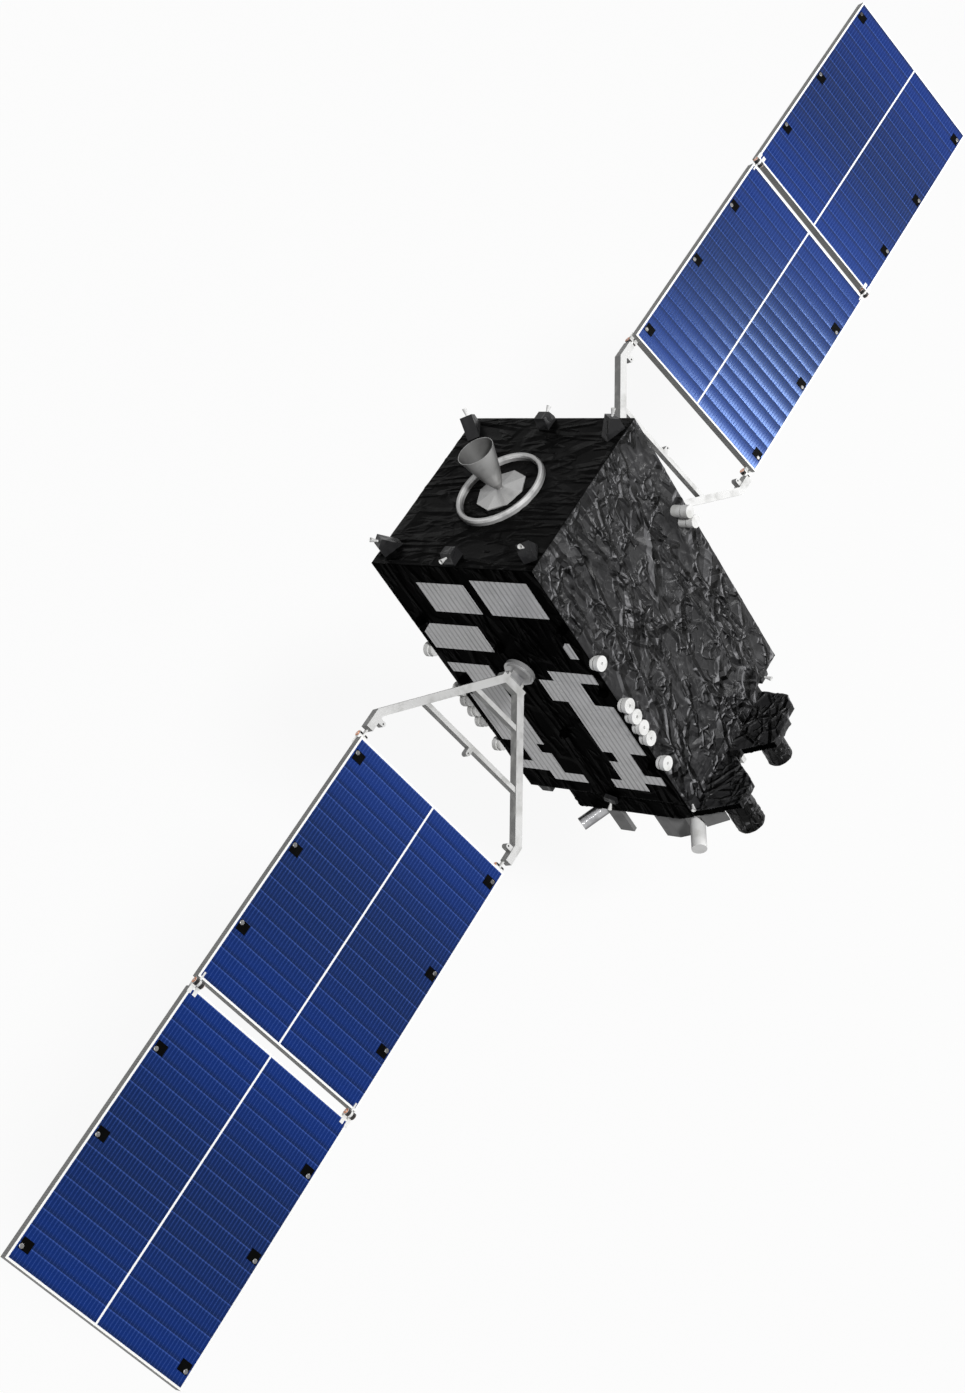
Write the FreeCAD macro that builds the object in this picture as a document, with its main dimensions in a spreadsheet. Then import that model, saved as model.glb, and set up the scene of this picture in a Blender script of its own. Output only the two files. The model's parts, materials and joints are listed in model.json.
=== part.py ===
import FreeCAD, Part
import math
import os
import re
import Sketcher

# A three-axis stabilised satellite: a tall box with its apogee engine and launch ring on top,
# a payload platform underneath, and two solar wings of two panels each that turn on a drive
# and fold zigzag against the sides.
#
# Frame: origin at the centre of the launch ring's separation plane, +Z out of that plane
# (the engine fires towards +Z), +X out of the broad crinkled side, wings along -Y and +Y.

doc = FreeCAD.newDocument("satellite")

# ---------------------------------------------------------------- driving dimensions
sizes = doc.addObject("Spreadsheet::Sheet", "Sizes")

dimensions = [
    # alias, value in mm or degrees, what it is
    ("busWidth", 2350, "box, along X"),
    ("busDepth", 2286, "box, along Y"),
    ("busHeight", 3793, "box, along Z"),
    ("ringHeight", 80, "engine deck to separation plane"),
    ("ringRadius", 504, "launch ring, middle of its tube"),
    ("ringTube", 33, "launch ring, tube radius"),
    ("ringLand", 12, "launch ring, half width of the flat seat"),
    ("mountRadius", 305, "engine mount, across its eight corners"),
    ("mountTopRadius", 62, "engine mount, top"),
    ("mountRim", 18, "engine mount, rim height"),
    ("mountHeight", 55, "engine mount, height"),
    ("nozzleThroat", 38, "apogee nozzle, throat radius"),
    ("nozzleMouth", 212, "apogee nozzle, mouth radius"),
    ("nozzleLength", 545, "apogee nozzle, length"),
    ("nozzleWall", 6, "apogee nozzle, wall"),
    ("thrusterWidth", 150, "thruster housing, width"),
    ("jetThroat", 13, "thruster nozzle, throat radius"),
    ("jetMouth", 27, "thruster nozzle, mouth radius"),
    ("jetLength", 92, "thruster nozzle, length"),
    ("jetWall", 3, "thruster nozzle, wall"),
    ("slabDrop", 312, "payload slab, depth below the box"),
    ("slabShelf", 122, "underside of the box to the top of the shelf"),
    ("slabLow", -593, "payload slab, edge towards -X"),
    ("slabRise", 264, "payload slab, length of its rising underside"),
    ("slabSide", 690, "payload slab, edge towards +Y"),
    ("shelfThick", 97, "sensor shelf, thickness"),
    ("shelfLength", 571, "sensor shelf, forward of the slab"),
    ("baffleWall", 5, "sensor baffles, wall"),
    ("baffleFloor", 60, "sensor baffles, thickness of their closed end"),
    ("longRadius", 175, "long sensor baffle, radius"),
    ("longLength", 470, "long sensor baffle, length"),
    ("longInset", 367, "long sensor baffle, in from the -Y side"),
    ("longBack", 213, "long sensor baffle, back from the shelf's front edge"),
    ("shortRadius", 155, "short sensor baffle, radius"),
    ("shortLength", 390, "short sensor baffle, length"),
    ("shortAcross", 140, "short sensor baffle, along Y"),
    ("shortBack", 253, "short sensor baffle, back from the shelf's front edge"),
    ("plateWidth", 210, "antenna plate, along X"),
    ("plateThick", 54, "antenna plate, thickness"),
    ("plateHeight", 365, "antenna plate, height"),
    ("plateEdge", -170, "antenna plate, edge towards -X"),
    ("towerWidth", 368, "instrument tower, along X"),
    ("towerFlat", 198, "instrument tower, its flat side towards -Y"),
    ("towerBevel", 70, "instrument tower, its bevel along Y"),
    ("towerDepth", 320, "instrument tower, along Y"),
    ("towerHeight", 415, "instrument tower, height"),
    ("towerBack", 61, "instrument tower, back from where the slab starts to rise"),
    ("towerInset", 43, "instrument tower, in from the -Y side"),
    ("finLength", 284, "reflector fin, length"),
    ("finThick", 18, "reflector fin, thickness"),
    ("finHeight", 238, "reflector fin, height"),
    ("finOut", 24, "reflector fin, out from the slab"),
    ("finInset", 55, "reflector fin, in from the -Y side"),
    ("finAngle", 29, "reflector fin, angle to X"),
    ("sunLength", 70, "sun sensor, along X"),
    ("sunWidth", 60, "sun sensor, along Y"),
    ("sunHeight", 93, "sun sensor, height"),
    ("sunOut", 88, "sun sensor, out from the slab"),
    ("sunEdge", -240, "sun sensor, edge towards -Y"),
    ("hornRadius", 90, "white horn, radius"),
    ("hornLength", 520, "white horn, length"),
    ("hornDrop", 80, "white horn, middle of its inner end below the slab"),
    ("hornOut", 97, "white horn, out from where the slab starts to rise"),
    ("hornInset", 195, "white horn, in from the -Y side"),
    ("tubeRadius", 84, "horizon sensor tube, radius"),
    ("tubeLength", 450, "horizon sensor tube, length"),
    ("tubeDrop", 90, "horizon sensor tube, middle of its inner end below the slab"),
    ("tubeStart", -250, "horizon sensor tube, its inner end along X"),
    ("tubeInset", 183, "horizon sensor tube, in from the -Y side"),
    ("seatLength", 150, "blocks that carry the horn and the tube, length"),
    ("seatWidth", 90, "those blocks, width"),
    ("cornerInX", 138, "corner thrusters of the engine deck, in from the X sides"),
    ("cornerInY", 209, "corner thrusters of the engine deck, in from the Y sides"),
    ("middleInY", 124, "middle thrusters of the engine deck, in from the Y sides"),
    ("besideSlab", 173, "thrusters beside the slab, out from its edge"),
    ("radiatorThick", 5, "radiator tiles, stand proud of the side"),
    ("knobRadius", 86, "side pots, radius"),
    ("knobNeck", 62, "side pots, neck radius"),
    ("knobLength", 112, "side pots, length"),
    ("knobBore", 17, "side pots, bore radius"),
    ("knobInset", 19, "side pots, in from the edge of the side"),
    ("canRadius", 74, "side cans, radius"),
    ("canInset", 199, "side cans, in from the +Y side"),
    ("canLength", 232, "side cans, length"),
    ("axisDrop", 1639, "engine deck to the wing axis"),
    ("driveAngle", -74.32, "wing plane about +Y in the deployed pose"),
    ("housingRadius", 185, "array drive housing, radius"),
    ("housingThick", 46, "array drive housing, thickness"),
    ("hubRadius", 158, "array drive hub, radius"),
    ("hubThick", 30, "array drive hub, thickness"),
    ("hubGap", 0.6, "running gap between housing and hub"),
    ("hubShaft", 60, "array drive shaft, radius"),
    ("hubDeep", 36, "array drive shaft, length inside the housing"),
    ("tongueHalf", 28, "array drive tongue, half thickness"),
    ("tongueReach", 70.4, "array drive tongue, face of the hub to the root hinge"),
    ("tongueRoot", 5, "array drive tongue, depth in the hub"),
    ("rootPin", 16, "root hinge, pin radius"),
    ("rootEye", 36, "root hinge, eye radius"),
    ("rootEar", 105, "root hinge, middle of each ear across the wing"),
    ("earThick", 30, "root hinge, ear thickness"),
    ("pinGap", 0.3, "radial clearance of every hinge pin"),
    ("sideGap", 2, "side clearance at every hinge"),
    ("yokeWide", 92, "yoke tube, width in the wing plane"),
    ("yokeDeep", 110, "yoke tube, depth"),
    ("yokeStem", 82, "root hinge to the yoke's root cross tube"),
    ("yokeRoot", 120, "yoke, half spread of its root"),
    ("armInset", 25, "yoke arms, middle of the tube in from the panel's edge"),
    ("armStraight", 220, "yoke arms, length of their straight ends"),
    ("yokeLength", 1680, "root hinge to the ends of the arms"),
    ("braceNear", 432, "root hinge to the inner cross brace"),
    ("braceFar", 985, "root hinge to the outer cross brace"),
    ("braceWide", 54, "yoke, brace width"),
    ("braceDeep", 84, "yoke, brace depth"),
    ("lugRadius", 30, "yoke hold-down lug, radius"),
    ("lugBore", 11, "yoke hold-down lug, bore radius"),
    ("lugOut", 85, "yoke, outer brace to the lug on it"),
    ("lugBack", 150, "yoke, ends of the arms back to their lugs"),
    ("lugInset", 105, "yoke, middle of an arm in to its lug"),
    ("hingeOut", 80, "ends of the yoke to the inner panel's hinge line"),
    ("hingeLift", 6, "that hinge line, behind the yoke and the panel"),
    ("panelOut", 51, "that hinge line to the inner panel"),
    ("panelLength", 3120, "each panel, along the wing"),
    ("panelGap", 118, "between the panels"),
    ("panelWidth", 2290, "each panel, across the wing"),
    ("panelFront", 50, "panel front face, in front of the wing plane"),
    ("panelBack", 55, "panel back face, behind the wing plane"),
    ("tipHingeLift", 10, "panel to panel hinge line, in front of the panels"),
    ("hingeInset", 45, "panel hinges, in from the panels' edges"),
    ("bladeThick", 20, "panel hinges, blade thickness"),
    ("barrelLength", 44, "panel hinges, barrel length"),
    ("barrelRadius", 38, "panel hinges, barrel radius"),
    ("hingePin", 12, "panel hinges, pin radius"),
    ("armDeep", 44, "panel hinges, leaf depth"),
    ("plateRun", 74, "panel hinges, plate on the panel or the yoke"),
    ("pinOut", 6, "panel hinges, pin beyond the barrels"),
    ("bracketReach", 68, "hold-down bracket, height off the side"),
    ("bracketBase", 90, "hold-down bracket, foot"),
    ("bracketTop", 46, "hold-down bracket, top"),
    ("holdInset", 105, "hold-down brackets of the panels, in from the panels' edges"),
    ("tileGap", 2, "radiator tiles, clearance around brackets and drives"),
    ("tileMargin", 60, "radiator tiles, clearance to the edges of the side"),
    # sizes that follow from others
    ("shelfSeat", "=busWidth / 2", "sensor shelf, line where it meets the slab"),
    ("shelfReach", "=shelfSeat + shelfLength", "sensor shelf, front edge"),
    ("slabKnee", "=shelfSeat - slabRise", "payload slab, where its underside starts to rise"),
    ("hubFace", "=busDepth / 2 + housingThick + hubGap + hubThick", "outer face of the hub"),
    ("rootHinge", "=hubFace + tongueReach", "root hinge, from the middle of the satellite"),
    ("yokeStart", "=rootHinge + yokeStem", "yoke, root cross tube"),
    ("yokeEnd", "=rootHinge + yokeLength", "yoke, ends of the arms"),
    ("yokeBend", "=yokeEnd - armStraight", "yoke, where the arms turn straight"),
    ("yokeSpread", "=panelWidth / 2 - armInset", "yoke, half spread at the panels"),
    ("braceInner", "=rootHinge + braceNear", "yoke, inner cross brace"),
    ("braceOuter", "=rootHinge + braceFar", "yoke, outer cross brace"),
    ("lugMiddle", "=braceOuter + lugOut", "yoke, lug on the outer brace"),
    ("lugEnd", "=yokeEnd - lugBack", "yoke, lugs on the arms"),
    ("lugAcross", "=yokeSpread - lugInset", "yoke, those lugs from the wing's middle line"),
    ("panelHinge", "=yokeEnd + hingeOut", "yoke to inner panel hinge line"),
    ("panelHingeDrop", "=max(yokeDeep / 2; panelBack) + hingeLift", "that line, behind the wing plane"),
    ("panelStart", "=panelHinge + panelOut", "inner panel, near edge"),
    ("tipHingeRise", "=panelFront + tipHingeLift", "panel to panel hinge line, in front of the wing plane"),
    ("hingeAcross", "=panelWidth / 2 - hingeInset", "panel hinges, from the wing's middle line"),
    ("holdAcross", "=panelWidth / 2 - holdInset", "panel hold-downs, from the wing's middle line"),
    ("foldedHinge", "=axisDrop + yokeLength + hingeOut", "engine deck to a stowed wing's inner hinge line"),
]
for row, (alias, number, note) in enumerate(dimensions, start=1):
    sizes.set("A%d" % row, alias)
    sizes.set("B%d" % row, str(number))
    sizes.set("C%d" % row, note)
    sizes.setAlias("B%d" % row, alias)
    doc.recompute()

aliases = {alias for alias, number, note in dimensions}


def bound(text):
    """The expression with each dimension's name pointing at its cell."""
    return re.sub(r"[A-Za-z]\w*", lambda m: "Sizes." + m[0] if m[0] in aliases else m[0], str(text))


def size(alias):
    """A dimension as a number, for shapes that are made directly."""
    return float(sizes.get(alias))


def bind(thing, **expressions):
    for name, text in expressions.items():
        thing.setExpression(name, bound(text))
    return thing


def place(thing, x=0, y=0, z=0):
    """Ties an object's position to the sheet."""
    for axis, text in zip("xyz", (x, y, z)):
        thing.setExpression("Placement.Base." + axis, bound(text))
    return thing


def rotation(axis, angle):
    return FreeCAD.Rotation(FreeCAD.Vector(*axis), angle)


def turn(thing, *turns):
    """Turns an object about its own position: turns are rotations, the last one made first."""
    total = FreeCAD.Rotation()
    for one in turns:
        total = total * one
    thing.Placement = FreeCAD.Placement(thing.Placement.Base, total)
    return thing


pieces = []


def piece(thing, label):
    """Marks a finished sub-part: its label names its file."""
    thing.Label = label
    pieces.append(thing)
    return thing


# ---------------------------------------------------------------- building blocks
def originPlane(body, role):
    return next(feature for feature in body.Origin.OriginFeatures if feature.Role == role + "_Plane")


def sketchOn(body, plane):
    sketch = body.newObject("Sketcher::SketchObject", body.Name + "Sketch")
    sketch.AttachmentSupport = (originPlane(body, plane), [""])
    sketch.MapMode = "FlatFace"
    return sketch


def drawOutline(sketch, corners):
    """A closed outline whose corners are pairs of expressions."""
    count = len(corners)
    first = sketch.GeometryCount
    # the corners start on a circle, and the constraints below bring them to their places
    angles = [2 * math.pi * k / count for k in range(count)]
    spot = [FreeCAD.Vector(100 * math.cos(angle), 100 * math.sin(angle), 0) for angle in angles]
    for k in range(count):
        sketch.addGeometry(Part.LineSegment(spot[k], spot[(k + 1) % count]), False)
    for k in range(count):
        sketch.addConstraint(Sketcher.Constraint("Coincident", first + k, 2, first + (k + 1) % count, 1))
    for k, (across, up) in enumerate(corners):
        for kind, start, text in (("DistanceX", spot[k].x, across), ("DistanceY", spot[k].y, up)):
            number = sketch.addConstraint(Sketcher.Constraint(kind, -1, 1, first + k, 1, start))
            sketch.setExpression("Constraints[%d]" % number, bound(text))
    return sketch


def prism(name, plane, corners, length, both=False):
    """A body padded from one outline on one of its own origin planes."""
    body = doc.addObject("PartDesign::Body", name)
    sketch = drawOutline(sketchOn(body, plane), corners)
    pad = body.newObject("PartDesign::Pad", name + "Pad")
    pad.Profile = sketch
    pad.SideType = "Symmetric" if both else "One side"
    bind(pad, Length=length)
    return body


def turned(name, corners):
    """A body of revolution about its own Z axis, from an outline in radius and height."""
    body = doc.addObject("PartDesign::Body", name)
    sketch = drawOutline(sketchOn(body, "XZ"), corners)
    lathe = body.newObject("PartDesign::Revolution", name + "Turn")
    lathe.Profile = sketch
    lathe.ReferenceAxis = (sketch, ["V_Axis"])
    lathe.Angle = 360
    return body


def block(name, long, wide, high, x=0, y=0, z=0):
    """A box whose low corner is at x, y, z."""
    return place(bind(doc.addObject("Part::Box", name), Length=long, Width=wide, Height=high), x, y, z)


def rod(name, radius, length, x=0, y=0, z=0):
    return place(bind(doc.addObject("Part::Cylinder", name), Radius=radius, Height=length), x, y, z)


def joined(name, things):
    fuse = doc.addObject("Part::MultiFuse", name)
    fuse.Shapes = things
    fuse.Refine = True
    return fuse


def cutFrom(name, base, tool):
    cut = doc.addObject("Part::Cut", name)
    cut.Base = base
    cut.Tool = tool
    return cut


def overlapOf(name, base, tool):
    common = doc.addObject("Part::Common", name)
    common.Base = base
    common.Tool = tool
    return common


def together(name, things):
    """Like pieces of one body, kept as separate solids in one node."""
    group = doc.addObject("Part::Compound", name)
    group.Links = things
    return group


deck = "(-ringHeight)"
under = "(-ringHeight - busHeight)"
alongX, alongY, alongZ = (1, 0, 0), (0, 1, 0), (0, 0, 1)

# ---------------------------------------------------------------- the box
box = block("BusBox", "busWidth", "busDepth", "busHeight", "-busWidth / 2", "-busDepth / 2", under)
piece(box, "bus_box")

# ---------------------------------------------------------------- engine deck
# a tube bent to a ring, standing on a short skirt, with a flat seat for the launcher's clamp band
ringTop = "0"
ringSide = "-ringHeight * 0.45"
piece(turned("LaunchRing", [
    ("ringRadius - ringTube", deck),
    ("ringRadius + ringTube", deck),
    ("ringRadius + ringTube", ringSide),
    ("ringRadius + ringTube * 0.72", "-ringHeight * 0.14"),
    ("ringRadius + ringLand", ringTop),
    ("ringRadius - ringLand", ringTop),
    ("ringRadius - ringTube * 0.72", "-ringHeight * 0.14"),
    ("ringRadius - ringTube", ringSide),
]), "launch_ring")


def octagon(radius):
    """Corners of an octagon, four of them on the X and Y axes."""
    return [("%s * cos(%d)" % (radius, 45 * k), "%s * sin(%d)" % (radius, 45 * k)) for k in range(8)]


mount = doc.addObject("PartDesign::Body", "EngineMount")
rim = mount.newObject("PartDesign::Pad", "MountRim")
rim.Profile = drawOutline(sketchOn(mount, "XY"), octagon("mountRadius"))
bind(rim, Length="mountRim")
rimTop = drawOutline(sketchOn(mount, "XY"), octagon("mountRadius"))
rimTop.setExpression("AttachmentOffset.Base.z", bound("mountRim"))
mountTop = drawOutline(sketchOn(mount, "XY"), octagon("mountTopRadius"))
mountTop.setExpression("AttachmentOffset.Base.z", bound("mountHeight"))
cone = mount.newObject("PartDesign::AdditiveLoft", "MountCone")
cone.Profile = rimTop
cone.Sections = [mountTop]
cone.Ruled = True
piece(place(mount, z=deck), "engine_mount")

# the bell: a short combustion chamber, then a wall of even thickness that opens like a parabola
bellSteps = 7
bellBase = "(mountHeight - ringHeight)"


def bellPoint(share, wall):
    """A point of the bell's wall, at a share of its length."""
    radius = "nozzleThroat + (nozzleMouth - nozzleThroat) * %.5f + %s" % (share ** 0.72, wall)
    return radius, "%s + nozzleLength * %.5f" % (bellBase, 0.02 + 0.98 * share)


outside = [bellPoint(k / bellSteps, "0") for k in range(bellSteps + 1)]
inside = [bellPoint(k / bellSteps, "(-nozzleWall)") for k in range(bellSteps, 0, -1)]
throatFloor = ("nozzleThroat - nozzleWall * 2", bellBase + " + nozzleLength * 0.06")
piece(turned("ApogeeEngine", [("0", bellBase), ("nozzleThroat", bellBase)] + outside + inside + [
    throatFloor, ("0", bellBase + " + nozzleLength * 0.06")]), "apogee_engine")


# ---------------------------------------------------------------- thrusters
def thruster(name, outline, spot, *turns):
    """A housing standing on its own XY plane, with a small bell on one of its edges.

    outline runs in the housing's own X and Z; the bell stands on the edge from its third
    corner to its fourth."""
    housing = prism(name + "Housing", "XZ", outline, "thrusterWidth", both=True)
    bell = turned(name + "Bell", [
        ("0", "0"), ("jetThroat", "0"), ("jetThroat", "jetLength * 0.2"), ("jetMouth", "jetLength"),
        ("jetMouth - jetWall", "jetLength"), ("jetThroat - jetWall", "jetLength * 0.24"),
        ("0", "jetLength * 0.24")])
    (lipX, lipZ), (crownX, crownZ) = outline[2], outline[3]
    tilt = math.degrees(math.atan2(crownZ - lipZ, lipX - crownX))
    stand = FreeCAD.Vector((lipX + crownX) / 2, 0, (lipZ + crownZ) / 2)
    heading = place(turn(housing, *turns), *spot).Placement.Rotation
    offset = heading.multVec(stand)
    place(turn(bell, heading, rotation(alongY, tilt)), *["%s + %.6f" % pair for pair in zip(spot, offset)])
    return housing, bell


def thrusterSet(label, rows):
    made = [thruster("%s%d" % (label, number), *row) for number, row in enumerate(rows)]
    piece(together(label + "Housings", [housing for housing, bell in made]), label + "_thruster_housings")
    piece(together(label + "Bells", [bell for housing, bell in made]), label + "_thruster_nozzles")


# housing outlines: heel, toe, lip, crown and, where the top is flat, back
leaning = [(-150, 0), (97, 0), (97, 146), (13, 216)]
upright = [(-70, 0), (105, 0), (105, 56), (73, 148), (-40, 148)]
lowDown = [(-80, 0), (95, 0), (95, 40), (78, 110), (-80, 110)]
flat = [(-55, 0), (50, 0), (50, 18), (20, 55), (-55, 55)]


def deckSpot(sideX, sideY):
    """Place of a corner thruster on the engine deck."""
    return ("%d * (busWidth / 2 - cornerInX)" % sideX, "%d * (busDepth / 2 - cornerInY)" % sideY, deck)


engineRows = [
    # four corners: sides along X and Y, then the way each faces
    (leaning, deckSpot(sideX, sideY), rotation(alongZ, facing))
    for sideX, sideY, facing in ((1, 1, 59), (-1, 1, 121), (-1, -1, 239), (1, -1, 301))
] + [
    (upright, ("0", "%d * (busDepth / 2 - middleInY)" % sideY, deck), rotation(alongZ, 90 * sideY))
    for sideY in (1, -1)
]
thrusterSet("engine_deck", engineRows)

hanging = rotation(alongX, 180)
earthRows = [
    # under the box, out towards -X and +X
    (lowDown, ("busWidth / 2 - 120", "slabSide + besideSlab", under), hanging),
    (lowDown, ("120 - busWidth / 2", "slabSide + besideSlab", under), rotation(alongZ, 180), hanging),
    (lowDown, ("186 - busWidth / 2", "90 - busDepth / 2", under), rotation(alongZ, 180), hanging),
    # on the -Y side of the payload slab, firing down, and at its corner, firing out
    (flat, ("46", "-busDepth / 2", under + " - 60"), rotation(alongX, 90), rotation(alongZ, -110)),
    (flat, ("shelfSeat", "80 - busDepth / 2", under + " - 45"), rotation(alongY, 90), rotation(alongZ, -90)),
]
thrusterSet("earth_deck", earthRows)

# ---------------------------------------------------------------- payload slab and shelf
slabFloor = under + " - slabDrop"
shelfFloor = under + " - slabShelf - shelfThick"
slab = prism("PayloadSlab", "XZ", [
    ("slabLow", under),
    ("slabLow", slabFloor),
    ("slabKnee", slabFloor),
    ("shelfSeat", shelfFloor),
    ("shelfSeat", under),
], "busDepth / 2 + slabSide")
piece(place(slab, y="slabSide"), "payload_slab")

# the shelf runs forward of the slab in two tongues with a notch between them
shelf = prism("SensorShelf", "XY", [
    ("shelfSeat", "-busDepth / 2"),
    ("shelfReach", "-busDepth / 2 + 206"),
    ("shelfReach", "-busDepth / 2 + 527"),
    ("shelfSeat + 256", "-365"),
    ("shelfSeat + 168", "-290"),
    ("shelfSeat + 168", "-190"),
    ("shelfReach", "-31"),
    ("shelfReach", "324"),
    ("shelfReach - 68", "380"),
    ("shelfReach - 68", "547"),
    ("shelfReach - 178", "640"),
    ("shelfReach - 212", "slabSide"),
    ("shelfSeat", "slabSide"),
], "shelfThick")
piece(place(shelf, z=shelfFloor), "sensor_shelf")

# two baffles hang below the ends of the tongues, open at the bottom
baffleRows = [
    # name, along X, along Y, radius, length
    ("long_sensor_baffle", "shelfReach - longBack", "longInset - busDepth / 2", "longRadius", "longLength"),
    ("short_sensor_baffle", "shelfReach - shortBack", "shortAcross", "shortRadius", "shortLength"),
]
for label, x, y, radius, length in baffleRows:
    bore = radius + " - baffleWall"
    baffle = turned(label.title().replace("_", ""), [
        ("0", "0"), (radius, "0"), (radius, "-" + length), (bore, "-" + length), (bore, "-baffleFloor"),
        ("0", "-baffleFloor")])
    piece(place(baffle, x, y, shelfFloor), label)

# ---------------------------------------------------------------- payload under the slab
plate = block("AntennaPlate", "plateWidth", "plateThick", "plateHeight",
              "plateEdge", "-busDepth / 2", slabFloor + " - plateHeight")
piece(plate, "antenna_plate")
tower = prism("InstrumentTower", "XY", [
    ("0", "0"), ("towerFlat", "0"), ("towerWidth", "towerBevel"), ("towerWidth", "towerDepth"),
    ("0", "towerDepth")], "towerHeight")
place(tower, "slabKnee - towerBack - towerWidth", "towerInset - busDepth / 2", slabFloor + " - towerHeight")
piece(tower, "instrument_tower")
fin = block("ReflectorFin", "finLength", "finThick", "finHeight",
            "shelfSeat + finOut", "finInset - busDepth / 2", shelfFloor + " - finHeight")
piece(turn(fin, rotation(alongZ, size("finAngle"))), "reflector_fin")
eye = block("SunSensor", "sunLength", "sunWidth", "sunHeight",
            "shelfSeat + sunOut", "sunEdge", shelfFloor + " - sunHeight")
piece(eye, "sun_sensor")


def saddledTube(label, radius, length, start, heading, dip, high):
    """A round housing lying below the slab, on a block that reaches up to it.

    start is the middle of the inner end, heading its way about Z, dip its slope down."""
    name = label.title().replace("_", "")
    tube = rod(name + "Tube", radius, length, *start)
    turn(tube, rotation(alongZ, heading), rotation(alongY, 90 + dip))
    seat = block(name + "Seat", "seatLength", "seatWidth", high)
    turn(place(seat, *start), rotation(alongZ, heading))
    fitted = cutFrom(name + "Fitted", seat, slab)
    return piece(joined(name, [tube, fitted]), label)


saddledTube("horizon_sensor_tube", "tubeRadius", "tubeLength",
            ("tubeStart", "tubeInset - busDepth / 2", slabFloor + " - tubeDrop"), 236, 0, "tubeDrop + 30")
saddledTube("white_horn", "hornRadius", "hornLength",
            ("slabKnee + hornOut", "hornInset - busDepth / 2", slabFloor + " - hornDrop"), 299, 8,
            "hornDrop * 2")

# ---------------------------------------------------------------- radiators on the two wing sides
# outlines of the tiled fields, along X and down from the engine deck
fields = [
    [(-680, 274), (20, 274), (20, 730), (-680, 730)],
    [(165, 194), (977, 194), (977, 734), (165, 734)],
    [(-930, 946), (-202, 946), (-202, 1357), (-1100, 1357), (-1100, 1090)],
    [(897, 1180), (960, 1115), (1017, 1115), (1017, 1362), (897, 1362)],
    [(-1095, 1604), (-461, 1604), (-461, 2959), (-585, 2959), (-585, 3116), (-441, 3116), (-441, 3460),
     (-160, 3460), (-160, 3603), (-670, 3603), (-670, 3454), (-1095, 3454), (-1095, 3305), (-843, 3305),
     (-843, 2940), (-1095, 2940), (-1095, 2145), (-894, 2145), (-894, 1756), (-1095, 1756)],
    [(415, 1608), (1060, 1608), (1060, 1766), (791, 1766), (791, 2134), (1060, 2134), (1060, 2946),
     (826, 2946), (826, 3328), (1060, 3328), (1060, 3474), (740, 3474), (740, 3619), (252, 3619),
     (252, 3470), (422, 3470), (422, 3130), (560, 3130), (560, 2963), (415, 2963), (415, 2114),
     (192, 2114), (192, 1768), (415, 1768)],
]
# hold-down brackets: across, down from the engine deck; three pairs for the panels, two for the yoke
holdDowns = (2488, 1491, 252)  # along a panel, from the hinge line that it shares with the yoke
bracketRows = [
    ("%d * holdAcross" % sideX, "foldedHinge - %d" % along) for along in holdDowns for sideX in (-1, 1)
] + [("0", "axisDrop + braceFar + lugOut"), ("-90", "1290")]


def bracket(name):
    foot, top = "bracketBase / 2", "bracketTop / 2"
    wedge = doc.addObject("Part::Wedge", name)
    return bind(wedge, Ymin=0, Ymax="bracketReach", Xmin="-" + foot, Xmax=foot, Zmin="-" + foot, Zmax=foot,
                X2min="-" + top, X2max=top, Z2min="-" + top, Z2max=top)


for tag, sideY in (("near", -1), ("far", 1)):
    # a field's pad grows towards -Y
    seat = "-busDepth / 2" if sideY < 0 else "busDepth / 2 + radiatorThick"
    tiles = [prism("%sField%d" % (tag, number), "XZ", [(x, deck + " - %d" % down) for x, down in outline],
                   "radiatorThick") for number, outline in enumerate(fields)]
    tiles = together(tag + "Tiles", [place(tile, y=seat) for tile in tiles])
    # they leave the brackets, the array drive and the edges of the side free
    wide, deep = "(bracketBase + 2 * tileGap)", "2 * radiatorThick"
    behind, ahead = ["%d * busDepth / 2 %s radiatorThick" % (sideY, sign) for sign in "-+"]
    keepOff = [block("%sKeepOff%d" % (tag, number), wide, deep, wide,
                     "%s - %s / 2" % (x, wide), behind, "%s - (%s) - %s / 2" % (deck, down, wide))
               for number, (x, down) in enumerate(bracketRows)]
    drive = rod(tag + "KeepOffDrive", "housingRadius + tileGap", deep, "0", ahead, deck + " - axisDrop")
    keepOff.append(turn(drive, rotation(alongX, 90)))
    trimmed = cutFrom(tag + "TrimmedTiles", tiles, joined(tag + "KeepOff", keepOff))
    face = block(tag + "Side", "busWidth - 2 * tileMargin", deep, "busHeight - 2 * tileMargin",
                 "tileMargin - busWidth / 2", behind, under + " + tileMargin")
    piece(overlapOf(tag + "Radiators", trimmed, face), "radiators_" + tag)
    brackets = [turn(place(bracket("%sBracket%d" % (tag, number)), x, "%d * busDepth / 2" % sideY,
                           "%s - (%s)" % (deck, down)), rotation(alongZ, 90 - 90 * sideY))
                for number, (x, down) in enumerate(bracketRows)]
    piece(together(tag + "Brackets", brackets), "hold_down_brackets_" + tag)

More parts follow.
